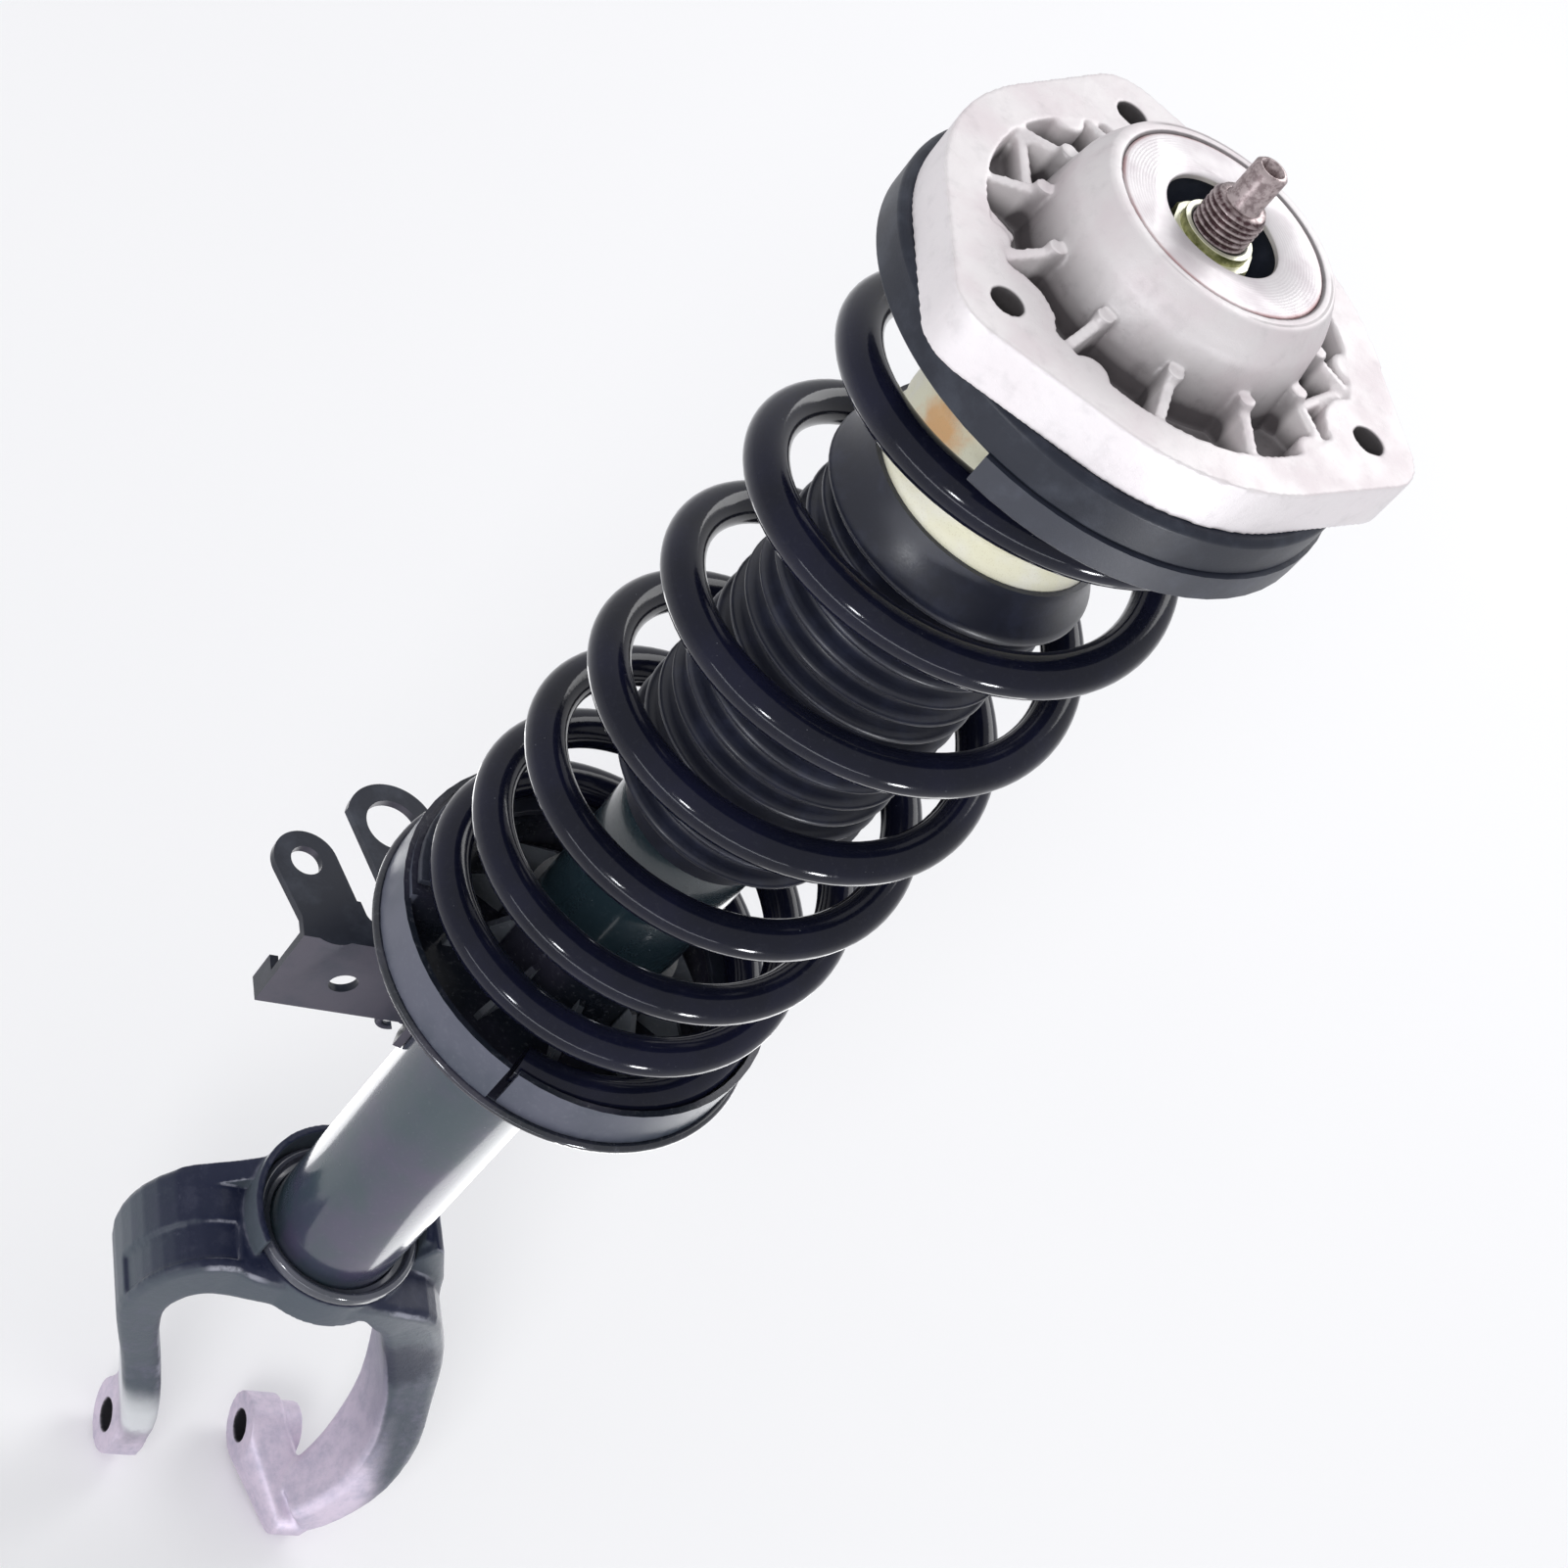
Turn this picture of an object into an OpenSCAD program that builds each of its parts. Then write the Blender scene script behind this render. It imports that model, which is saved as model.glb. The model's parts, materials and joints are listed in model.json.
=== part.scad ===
// Front suspension strut: damper, coil spring and top mount on a forked lower casting.
// Millimetres, +Z up. The origin is on the damper axis, in the plane where the top mount's
// flange bolts to the body. The fork's bolt runs along X.

/* [Overall] */
// Distance from the flange face down to the axis of the fork bolt
strut_length = 648.5; // [600:0.5:800]
// Travel from full rebound to the bump stop
jounce_travel = 115; // [80:1:130]
// Clearance of pieces that sit against each other
seat_gap = 0.3; // [0.2:0.05:0.5]
// Radial clearance of round pieces that fit together on one body
fit_gap = 0.1; // [0.05:0.05:0.3]
// Radial clearance of a running fit
slide_gap = 0.05; // [0.02:0.01:0.09]

/* [Top mount] */
// Diameter of the circle through the three flange bolts
bolt_circle = 128; // [122:1:160]
// Diameter of each flange bolt hole
bolt_hole = 9; // [6:0.5:12]
// Direction of the first flange bolt
bolt_turn = -35; // [-60:1:0]
// Radius of the lobe round each flange bolt
lobe_r = 15; // [11:0.5:17]
// Outer radius of the flange between the lobes
flange_r = 68; // [66:0.5:70]
// Depth of the flange's side wall below the bolt face
mount_depth = 15.5; // [13:0.5:24]
// Height of the hub above the bolt face
hub_h = 22; // [20:0.5:30]
// Radius of the hub's top lip
hub_top_r = 34; // [33:0.5:36]
// Radius of the hub where it meets the pockets
hub_base_r = 40.5; // [39:0.5:44]
// Outer radius of the ring of pockets
pocket_r = 55.5; // [52:0.5:56]
// Depth of the pockets below the bolt face
pocket_depth = 9; // [4:0.5:10]
// Number of ribs across the pockets
rib_count = 12; // [6:1:14]
// Thickness of each rib
rib_t = 3; // [2:0.2:5]
// Direction of the first rib
rib_turn = 10; // [0:1:30]
// Radius of the post at the hub end of each rib
post_r = 2.6; // [2:0.1:3.6]
// Height of the posts above the bolt face
post_h = 5; // [3:0.5:10]
// Radius of the small bosses on the rim of the pockets
lump_r = 5.5; // [4:0.5:7]
// Radius of the plate pressed into the hub
cover_r = 30.4; // [29:0.1:31]
// Thickness of the plate pressed into the hub
cover_t = 2.2; // [1.5:0.1:3]
// Radius of the hole in the hub's plate
cover_hole_r = 16.9; // [15.5:0.1:20]

/* [Rod] */
// Diameter of the piston rod
rod_d = 20; // [18:0.5:22]
// Diameter of the rod's threaded stud
stud_d = 16; // [12:0.5:16.5]
// Height of the top of the thread above the bolt face
stud_top = 29.5; // [27:0.5:40]
// Diameter of the spigot on the end of the stud
spigot_d = 9.6; // [8.5:0.1:11]
// Length of the spigot
spigot_l = 12; // [6:0.5:15]
// Radius of the rod's end that carries the piston
rod_end_r = 7; // [5:0.5:8]
// Width across flats of the key socket in the spigot
key_af = 5.5; // [4:0.5:6]
// Width across flats of the top nut
nut_af = 23; // [21:0.5:26]
// Height of the nut's hexagon
nut_h = 8; // [6:0.5:10]

/* [Bump stop and boot] */
// Radius of the bump stop's body
bump_r = 35; // [32:0.5:37]
// Length of the bump stop below the spring seat's plate
bump_l = 84; // [70:1:90]
// Radius of the boot's ribs at their crests
boot_r = 38.6; // [37:0.2:41]
// Distance from one rib of the boot to the next
rib_pitch = 8.3; // [7:0.1:9.5]
// Number of ribs on the boot
boot_ribs = 15; // [8:1:16]
// Wall of the boot
boot_wall = 1.6; // [1.2:0.1:2]
// Height of the boot's smooth cuff
cuff_h = 16; // [12:0.5:20]
// Radius of the cuff's rim
cuff_rim_r = 42; // [41:0.5:46]

/* [Spring] */
// Diameter of the spring's wire
wire_d = 12.8; // [10:0.1:14]
// Mean radius of the coils
coil_r = 55.7; // [54:0.1:56]
// Number of turns from tip to tip
coil_turns = 7.49; // [5:0.01:8]
// Height from the lower tip's centre to the upper tip's centre
coil_h = 292; // [240:1:360]
// Share of the height by which the lower turns close up
coil_close = 0.24; // [0:0.01:0.3]
// Direction of the upper tip
coil_turn = 54.6; // [0:0.2:90]

/* [Spring seats] */
// Outer radius of the upper seat's wall
seat_r = 70.8; // [69:0.2:72]
// Depth of the upper seat's wall
seat_h = 12.4; // [10:0.2:14]
// Thickness of pressed steel plate
plate_t = 2.5; // [2:0.1:3]
// Outer radius of the upper pad's skirt
skirt_r = 72; // [71.5:0.5:75]
// Depth of the upper pad's skirt below the seat's plate
skirt_h = 19.5; // [16:0.5:24]
// Thickness of the lower pad under the wire
pad_t = 3.2; // [2:0.1:5]
// Height of the perch's wall above its floor where the wall starts at the step
perch_wall = 16; // [12:0.5:24]
// How much higher the wall is when it has come round to the step
perch_climb = 1.5; // [0:0.5:6]

/* [Tube] */
// Outer diameter of the damper tube
tube_d = 49.5; // [47:0.5:50]
// Wall of the damper tube
tube_wall = 2; // [1.5:0.1:2.5]
// Bore of the inner cylinder
bore_d = 33; // [30:0.5:35]
// Wall of the inner cylinder
bore_wall = 1.5; // [1:0.1:2]
// Thickness of the piston
piston_h = 16; // [12:1:24]

/* [Fork] */
// Diameter of the fork bolt's bore
fork_bore = 12.5; // [10:0.5:16]
// Distance of the fork bolt's axis in front of the damper axis
fork_offset = 11; // [6:0.5:16]
// Gap between the two feet
fork_gap = 41.5; // [36:0.5:46]
// Sideways place of the middle of the gap
gap_shift = 0.75; // [0:0.25:3]
// Thickness of each foot
foot_t = 13; // [10:0.5:16]
// Radius of the left foot's end
foot_r = 14.5; // [13:0.5:17]
// Length of the boss outside the right foot
boss_l = 9; // [5:0.5:12]
// Outer radius of the fork's socket
socket_r = 31.5; // [31:0.5:33]
// Height of the top of the socket above the bolt axis
socket_top = 139; // [135:0.5:150]
// Height of the socket's ring
socket_h = 16; // [14:0.5:22]
// Thickness of the socket's floor
socket_floor = 4; // [3:0.5:6]
// Height of the half wall behind the tube, above the socket
cup_h = 10; // [8:0.5:16]
// Extra height of the half wall at its back
cup_rise = 4; // [0:0.5:16]
// Rounding of the fork arms' edges
arm_round = 3.5; // [1:0.5:6]

/* [Hose bracket] */
// Thickness of the bracket's sheet
sheet_t = 3; // [2:0.1:4]
// Distance of the bracket's upright plate behind the damper axis
bracket_y = 20; // [16:0.5:22]
// Height of the bracket's upright plate
bracket_h = 40; // [30:1:50]
// Distance of the bracket's top below the perch's floor
bracket_drop = 34; // [25:1:60]
// Place of the hole in the small ear
small_ear = [-71.6, 48.3];
// Radius of the bracket's small ear
small_ear_r = 11.5; // [9:0.5:13]
// Diameter of the hole in the small ear
small_ear_hole = 11; // [8:0.5:12]
// Place of the hole in the large ear
large_ear = [-38.5, 69.3];
// Radius of the bracket's large ear
large_ear_r = 16.5; // [14:0.5:19]
// Diameter of the hole in the large ear
large_ear_hole = 19.5; // [14:0.5:21]
// Width of the slot between the ears
ear_slot = 11; // [8:0.5:14]
// Far edge of the upright plate, from the damper axis
bracket_left = -75; // [-80:0.5:-70]
// Place across, height above the lower edge and diameter of the upright plate's holes
plate_holes = [[-51, 17, 10], [-30, 21, 9.5]];

/* [Hidden] */
$fn = 96;
wire_r = wire_d / 2;
tube_r = tube_d / 2;
rod_r = rod_d / 2;
cut = 0.5;

// Heights, from the flange face down
seat_top_z = -mount_depth;
pad_top_z = seat_top_z - plate_t;
coil_top_z = pad_top_z - 2 - wire_r;
coil_low_z = coil_top_z - coil_h;
floor_z = coil_low_z - wire_r - seat_gap - pad_t;
bump_low_z = pad_top_z - bump_l;
tube_top_z = bump_low_z - seat_gap - jounce_travel;
bolt_z = -strut_length;
tube_low_z = bolt_z + socket_top - socket_h + socket_floor;

// Mount hub
hub_bore_r = cover_r - 2;
hub_floor_t = 3.5;
hub_floor_z = hub_floor_t - mount_depth;
cover_z = hub_h - 0.3 - cover_t;
hub_hole_r = 22;
dome_r = 3.2;
hole_lip = 1;

// Bushing stack on the rod
shoulder_z = -10;
washer_t = 2.5;
sleeve_r = stud_d / 2 + 3;
sleeve_low_z = shoulder_z + washer_t;
lower_washer_r = hub_hole_r - 6.6;
nut_z = hub_h - 13;
upper_washer_z = nut_z - washer_t;

// Inside the tube
guide_h = 18;
cap_t = 2;
cap_h = 12;
cap_r = tube_r + fit_gap + cap_t;
guide_top_z = tube_top_z - cap_t - 1;
guide_low_z = guide_top_z - guide_h;
stop_h = 10;
stop_low_z = guide_low_z - seat_gap - stop_h;
piston_top_z = stop_low_z - 14;
piston_low_z = piston_top_z - piston_h;
rod_low_z = piston_low_z - 16;
bottom_cap_h = 6;
valve_h = 14;
valve_low_z = tube_low_z + bottom_cap_h + 4;
bore_r = bore_d / 2;

// Boot
boot_top_z = bump_low_z + 19.5;
rim_z = boot_top_z - cuff_h;
ribs_top_z = rim_z - 4;
ribs_low_z = ribs_top_z - boot_ribs * rib_pitch;
rib_in = 5;
collar_h = 8;
boot_low_z = min(ribs_low_z - 1, tube_top_z - cap_h + 1.3);

// Spring seats
stop_turn = 12;
skirt_turn = 190;
tip_gap = 1.2;
short_depth = 12;
pad_in_r = 44;
pad_out_r = seat_r - plate_t - fit_gap;
coil_out_r = coil_r + wire_r;
perch_in_r = coil_out_r + 1.5;
perch_out_r = perch_in_r + plate_t;
perch_collar_r = tube_r + fit_gap;
collar_t = 2.6;
perch_collar_h = 24;
gusset_count = 10;
pad_wrap = 300;
low_turn = coil_turn - 360 * coil_turns;

// Fork
left_face = gap_shift - fork_gap / 2;
right_face = gap_shift + fork_gap / 2;
socket_low = socket_top - socket_h;
ring_r = tube_r + 6.2;
ring_h = 5.4;
cup_r = ring_r + 0.6 + seat_gap;
cup_t = 2.8;

// Lowest corner of the right foot
toe = [35.5, -43, -8];
toe_r = 8;

// Left arm: place from the bolt axis, half thickness, half depth
left_arm = [
    [0, -3, socket_top - 8.1, 8, 25],
    [-22, -1.5, socket_top - 9.3, 9, 23],
    [-34, 0, socket_top - 11.2, 11, 21],
    [-46, 0, socket_top - 12, 11.5, 21],
    [-55, 0, 117, 10.5, 20.5],
    [-57.5, 0, 100, 9, 19.5],
    [-51, -1, 79, 7.5, 18],
    [-40, -3, 54, 7, 16],
    [-31, -8.5, 30, 7, 14.6],
    [left_face - foot_t / 2, -fork_offset, 14, foot_t / 2 - 0.2, foot_r - 0.1],
    [left_face - foot_t / 2, -fork_offset, 0, foot_t / 2 - 0.2, foot_r - 0.1]];

// Sunk panel on the left arm: stretch along the rows, and depth
panel_span = [2.2, 4.7];
panel_depth = 1.8;

// Right arm: place from the bolt axis, half thickness, half depth
right_arm = [
    [0, -5, socket_top - 8.1, 8, 26],
    [14, -5, socket_top - 6.6, 6.2, 26],
    [25, -4.5, socket_top - 12.2, 8.7, 25.5],
    [36, -4, socket_top - 19.5, 11, 24.5],
    [47, -5, 101, 11.5, 22],
    [55, -8, 83, 11, 20],
    [61, -13, 63, 10, 18.5],
    [64, -22, 41, 10.5, 16.5],
    [60, -31, 20, 11, 14.5],
    [51, -37, 5, 10.5, 12.5],
    [43, -39, -3, 9.5, 11.5]];

// A closed skin over rings of points, each ring with as many points. A looped skin joins
// its last ring to its first; any other has flat ends.
module skin(rings, looped = false) {
    n = len(rings[0]);
    m = len(rings);
    sides = [for (i = [0 : looped ? m - 1 : m - 2], j = [0 : n - 1])
        let (a = i * n, b = (i + 1) % m * n, k = (j + 1) % n)
        each [[a + j, a + k, b + j], [a + k, b + k, b + j]]];
    first = [for (j = [1 : n - 2]) [0, j + 1, j]];
    last = [for (j = [1 : n - 2]) [(m - 1) * n, (m - 1) * n + j, (m - 1) * n + j + 1]];
    polyhedron(
        points = [for (r = rings) each r],
        faces = looped ? sides : concat(sides, first, last));
}

// A ring sector whose underside and top follow functions of the angle
module helix_ring(r1, r2, from, to, low, high, steps) {
    skin([for (i = [0 : steps])
        let (a = from + (to - from) * i / steps, c = cos(a), s = sin(a))
        [[r1 * c, r1 * s, low(a)], [r2 * c, r2 * s, low(a)],
         [r2 * c, r2 * s, high(a)], [r1 * c, r1 * s, high(a)]]]);
}

// Two circles and the straight sides that touch both
module limb(p, pr, q, qr) {
    d = norm(q - p);
    way = atan2(q[1] - p[1], q[0] - p[0]);
    open = acos((pr - qr) / d);
    up = [cos(way + open), sin(way + open)];
    down = [cos(way - open), sin(way - open)];
    translate(p) circle(pr);
    translate(q) circle(qr);
    polygon([p + pr * up, p + pr * down, q + qr * down, q + qr * up]);
}

module tube(r_out, r_in, low, high) {
    translate([0, 0, low])
        difference() {
            cylinder(r = r_out, h = high - low);
            translate([0, 0, -cut])
                cylinder(r = r_in, h = high - low + 2 * cut);
        }
}

// Runs its children once at each flange bolt
module at_bolts() {
    for (i = [0 : 2])
        rotate(bolt_turn + 120 * i)
            translate([bolt_circle / 2, 0, 0])
                children();
}

// The casting's outline with its three lobes
module flange_outline(grow = 0) {
    for (i = [0 : 2])
        rotate(bolt_turn + 120 * i)
            limb([0, 0], flange_r + grow, [bolt_circle / 2, 0], lobe_r + grow);
}

// Section of the hub, its floor and the flange, on one side of the axis
module casting_section() {
    polygon([
        [hub_hole_r, -mount_depth],
        [flange_r, -mount_depth],
        [flange_r, 0],
        [pocket_r, 0],
        [pocket_r - 1, -pocket_depth],
        [hub_base_r + 1, -pocket_depth],
        [hub_base_r, 0],
        [hub_top_r + dome_r + 1.2, hub_h - 9],
        [hub_top_r + dome_r - 0.4, hub_h - 5],
        [hub_top_r + 1, hub_h - 1.6],
        [hub_top_r, hub_h],
        [cover_r + fit_gap, hub_h],
        [cover_r + fit_gap, cover_z],
        [hub_bore_r, cover_z],
        [hub_bore_r, hub_floor_z],
        [hub_hole_r, hub_floor_z]]);
}

// Directions of the small bosses on the rim of the pockets
lump_ways = [64, 109, 184, 229, 304, 349];

// Short webs that cross the pockets: radius and direction of both ends
webs = [[54, 131, 43, 156], [57, 172, 50, 181], [57, 343, 44, 314]];

function at_way(r, way) = r * [cos(way), sin(way)];

// A rib across the pockets, with a round post where it leaves the hub
module mount_rib() {
    hub_side = hub_base_r - 3;
    rib_top = post_h - 1.5;
    rotate([90, 0, 0])
        linear_extrude(height = rib_t, center = true)
            polygon([
                [hub_side, -pocket_depth - cut],
                [pocket_r + 1, -pocket_depth - cut],
                [pocket_r + 1, -1],
                [hub_base_r + 2, rib_top],
                [hub_side, rib_top]]);
    translate([hub_base_r + 1.5, 0, -pocket_depth - cut])
        cylinder(r = post_r, h = pocket_depth + cut + post_h, $fn = 24);
}

module mount_casting() {
    color("gainsboro")
        difference() {
            union() {
                rotate_extrude() casting_section();
                difference() {
                    translate([0, 0, -mount_depth])
                        linear_extrude(height = mount_depth)
                            flange_outline();
                    translate([0, 0, -mount_depth - cut])
                        cylinder(r = pocket_r + 2, h = mount_depth + 2 * cut);
                }
                at_bolts()
                    translate([0, 0, -mount_depth])
                        cylinder(r = lobe_r - 1, h = mount_depth);
                for (i = [0 : rib_count - 1])
                    rotate(rib_turn + 360 * i / rib_count)
                        mount_rib();
                translate([0, 0, -pocket_depth - cut]) {
                    for (way = lump_ways)
                        rotate(way)
                            translate([pocket_r + 1, 0, 0])
                                cylinder(r = lump_r, h = pocket_depth + cut - 0.1, $fn = 48);
                    linear_extrude(height = pocket_depth + cut - 1.2)
                        for (w = webs)
                            limb(at_way(w[0], w[1]), rib_t / 2, at_way(w[2], w[3]), rib_t / 2 + 0.01);
                }
            }
            at_bolts()
                translate([0, 0, -mount_depth - cut])
                    cylinder(d = bolt_hole, h = mount_depth + 2 * cut);
            translate([0, 0, -mount_depth + 3])
                cylinder(r = hub_bore_r, h = mount_depth + hub_h - 3 - cover_t - 3);
        }
}

module hub_cover_plate() {
    color("lightgray")
        translate([0, 0, cover_z])
            rotate_extrude()
                polygon([
                    [cover_hole_r, 0],
                    [cover_r, 0],
                    [cover_r, cover_t - 0.4],
                    [cover_r - 0.6, cover_t],
                    [cover_hole_r + hole_lip, cover_t],
                    [cover_hole_r, cover_t - 0.6]]);
}

module mount_bushing() {
    top = cover_z - 2;
    color("#1c1c1c")
        rotate_extrude()
            polygon([
                [sleeve_r + fit_gap, sleeve_low_z],
                [lower_washer_r + 0.5, sleeve_low_z],
                [lower_washer_r + 0.5, hub_floor_z - 1],
                [hub_hole_r - 1, hub_floor_z],
                [hub_bore_r - fit_gap, hub_floor_z],
                [hub_bore_r - fit_gap, top],
                [cover_hole_r + 4, top],
                [cover_hole_r + 1.5, upper_washer_z - 6],
                [sleeve_r + fit_gap, upper_washer_z - 3]]);
}

module bushing_sleeve() {
    color("silver")
        tube(sleeve_r, stud_d / 2 + fit_gap, sleeve_low_z, upper_washer_z);
}

module upper_cup_washer() {
    color("dimgray")
        rotate_extrude()
            polygon([
                [stud_d / 2 + fit_gap, upper_washer_z],
                [cover_hole_r - 3.4, upper_washer_z],
                [cover_hole_r - 1.6, upper_washer_z + 0.8],
                [cover_hole_r - 1.6, upper_washer_z + washer_t],
                [stud_d / 2 + fit_gap, upper_washer_z + washer_t]]);
}

module lower_cup_washer() {
    color("dimgray")
        rotate_extrude()
            polygon([
                [stud_d / 2 + fit_gap, shoulder_z],
                [lower_washer_r, shoulder_z],
                [lower_washer_r, sleeve_low_z],
                [stud_d / 2 + fit_gap, sleeve_low_z]]);
}

module top_nut() {
    ring_h = 2.6;
    color("darkkhaki")
        difference() {
            union() {
                translate([0, 0, nut_z]) {
                    cylinder(r = nut_af / 2 + 2.4, h = 1.8);
                    intersection() {
                        cylinder(r = nut_af / sqrt(3), h = nut_h, $fn = 6);
                        cylinder(r1 = nut_af / 2 + 6, r2 = nut_af / 2 + 0.4, h = nut_h);
                    }
                    translate([0, 0, nut_h])
                        cylinder(r = nut_af / 2 - 1.4, h = ring_h);
                }
            }
            translate([0, 0, nut_z - cut])
                cylinder(r = stud_d / 2 + slide_gap, h = nut_h + ring_h + 2 * cut);
        }
}

module piston_rod() {
    color("silver")
        difference() {
            rotate_extrude()
                polygon([
                    [0, rod_low_z],
                    [rod_end_r - 1, rod_low_z],
                    [rod_end_r, rod_low_z + 1],
                    [rod_end_r, piston_top_z + 2],
                    [rod_r, piston_top_z + 2],
                    [rod_r, shoulder_z],
                    [stud_d / 2, shoulder_z],
                    [stud_d / 2, stud_top - 1.2],
                    [stud_d / 2 - 1.2, stud_top],
                    [spigot_d / 2, stud_top],
                    [spigot_d / 2, stud_top + spigot_l - 0.8],
                    [spigot_d / 2 - 0.8, stud_top + spigot_l],
                    [0, stud_top + spigot_l]]);
            translate([0, 0, stud_top + spigot_l - 6])
                cylinder(r = key_af / sqrt(3), h = 7, $fn = 6);
        }
}

module upper_spring_seat() {
    color("#26282c")
        rotate_extrude()
            polygon([
                [hub_hole_r + 4, seat_top_z],
                [seat_r - 1.5, seat_top_z],
                [seat_r, seat_top_z - 1.5],
                [seat_r, seat_top_z - seat_h],
                [seat_r - plate_t, seat_top_z - seat_h],
                [seat_r - plate_t, pad_top_z],
                [hub_hole_r + 4, pad_top_z]]);
}

// Height of the wire's centre at a share of the way down the spring
function coil_z(u) = coil_top_z - coil_h * ((1 + coil_close) * u - coil_close * pow(u, 3));

// Height of the wire's centre at an angle on from the lower tip
function lower_wire_z(a) = coil_z(1 - (a - low_turn) / 360 / coil_turns);

// Section of the upper pad at an angle back from the upper tip. The wire lies in a groove
// that climbs with it; a skirt hides the wire up to the step.
function pad_section(back) = let (
    skirt_low = pad_top_z - skirt_h,
    short_low = pad_top_z - short_depth,
    tall = back <= skirt_turn,
    over_wire = max(coil_z(back / 360 / coil_turns) + wire_r + seat_gap, skirt_low + 1),
    groove = back < -tip_gap ? skirt_low + 0.5 : tall ? over_wire : short_low,
    low = tall ? skirt_low : short_low - 0.5,
    out = tall ? skirt_r : pad_out_r - 0.6,
    shoulder = tall ? seat_top_z - seat_h - seat_gap : short_low + 3,
    lip = coil_out_r + seat_gap)
    [[pad_in_r, pad_top_z], [pad_in_r, groove], [lip, groove], [lip + 0.3, low],
     [out - 1, low], [out, low + 1], [out, shoulder], [pad_out_r, shoulder + 0.2],
     [pad_out_r, pad_top_z]];

module upper_spring_pad() {
    edge = 0.2;
    backs = concat(
        [-stop_turn, -tip_gap - edge, -tip_gap + edge],
        [for (i = [1 : 32]) skirt_turn * i / 32],
        [skirt_turn + edge],
        [for (i = [1 : 20]) skirt_turn + edge + (360 - skirt_turn - stop_turn - 2 * edge) * i / 20]);
    color("#303338")
        skin([for (back = backs)
            let (a = coil_turn - back)
            [for (p = pad_section(back)) [p[0] * cos(a), p[0] * sin(a), p[1]]]],
            looped = true);
}

module bump_stop_cup() {
    color("#3a3d42")
        rotate_extrude()
            polygon([
                [rod_r + fit_gap, seat_top_z - 1],
                [hub_hole_r + 3.5, seat_top_z - 1],
                [hub_hole_r + 3.5, pad_top_z],
                [bump_r + 2.4, pad_top_z],
                [bump_r + 2.4, pad_top_z - 9],
                [bump_r + 0.4, pad_top_z - 9],
                [bump_r + 0.4, pad_top_z - 2],
                [rod_r + fit_gap, pad_top_z - 2]]);
}

module bump_stop() {
    top = pad_top_z - 2;
    neck = bump_r - 12;
    color("#f2ecc4")
        rotate_extrude()
            polygon([
                [rod_r + 0.5, top],
                [bump_r, top],
                [bump_r, bump_low_z + 11],
                [bump_r - 3, bump_low_z + 8],
                [neck + 3, bump_low_z + 6],
                [neck, bump_low_z + 2],
                [neck - 2, bump_low_z],
                [rod_r + 0.5, bump_low_z]]);
}

// Outline of the boot's ribs at a given distance inside the crests
function rib_points(inset) = [for (i = [0 : boot_ribs - 1])
    let (z = ribs_top_z - i * rib_pitch)
    each [
        [boot_r - rib_in - inset, z - rib_pitch * 0.08],
        [boot_r - inset - 1, z - rib_pitch * 0.34],
        [boot_r - inset, z - rib_pitch * 0.46],
        [boot_r - inset, z - rib_pitch * 0.62],
        [boot_r - inset - 1, z - rib_pitch * 0.74],
        [boot_r - rib_in - inset, z - rib_pitch]]];

function turned(list) = [for (i = [len(list) - 1 : -1 : 0]) list[i]];

module dust_boot() {
    collar_in = tube_r + seat_gap;
    cuff_in = bump_r + seat_gap;
    outer = concat(
        [[cuff_in + boot_wall, boot_top_z]],
        [[cuff_in + boot_wall + 1.2, boot_top_z - cuff_h * 0.5]],
        [[cuff_rim_r, rim_z + 2], [cuff_rim_r, rim_z]],
        rib_points(0),
        [[boot_r - rib_in, boot_low_z - 1],
         [collar_in + boot_wall, boot_low_z - 4.5],
         [collar_in + boot_wall, boot_low_z - 4.5 - collar_h]]);
    inner = concat(
        [[cuff_in, boot_top_z]],
        [[cuff_in, boot_top_z - cuff_h * 0.5]],
        [[cuff_rim_r - boot_wall - 1, rim_z + 2]],
        [[cuff_rim_r - boot_wall - 1, rim_z]],
        rib_points(boot_wall),
        [[boot_r - rib_in - boot_wall, boot_low_z],
         [collar_in, boot_low_z - 3.5],
         [collar_in, boot_low_z - 4.5 - collar_h]]);
    color("#1d2226")
        rotate_extrude()
            polygon(concat(outer, turned(inner)));
}

module coil_spring() {
    rings_per_turn = 24;
    sides = 8;
    count = ceil(coil_turns * rings_per_turn);
    color("#15171f")
        skin([for (i = [0 : count])
            let (
                u = i / count,
                a = coil_turn - 360 * coil_turns * u,
                radial = [cos(a), sin(a), 0],
                step = 0.001,
                fall = (coil_z(u + step) - coil_z(u)) / step / coil_turns,
                raw = [2 * PI * coil_r * sin(a), -2 * PI * coil_r * cos(a), fall],
                along = raw / norm(raw),
                side = cross(along, radial))
            [for (j = [0 : sides - 1])
                let (t = 360 * j / sides)
                coil_r * radial + [0, 0, coil_z(u)]
                    + wire_r * (cos(t) * radial + sin(t) * side)]]);
}

// Least gap between one turn and the next, measured on points along the wire
coil_self_gap = min([for (i = [0 : 359])
    let (u = i / 360 * (1 - 1 / coil_turns))
    coil_z(u) - coil_z(u + 1 / coil_turns)]) - wire_d;
echo(coil_self_gap = coil_self_gap);

module rebound_stop() {
    color("dimgray")
        tube(bore_r - 3, rod_r + fit_gap, stop_low_z, stop_low_z + stop_h);
}

module upper_shims() {
    color("silver")
        for (i = [0 : 2])
            tube(bore_r - 2.5 - 2 * i, rod_end_r + fit_gap, piston_top_z + 0.6 * i,
                piston_top_z + 0.6 * i + 0.6);
}

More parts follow.
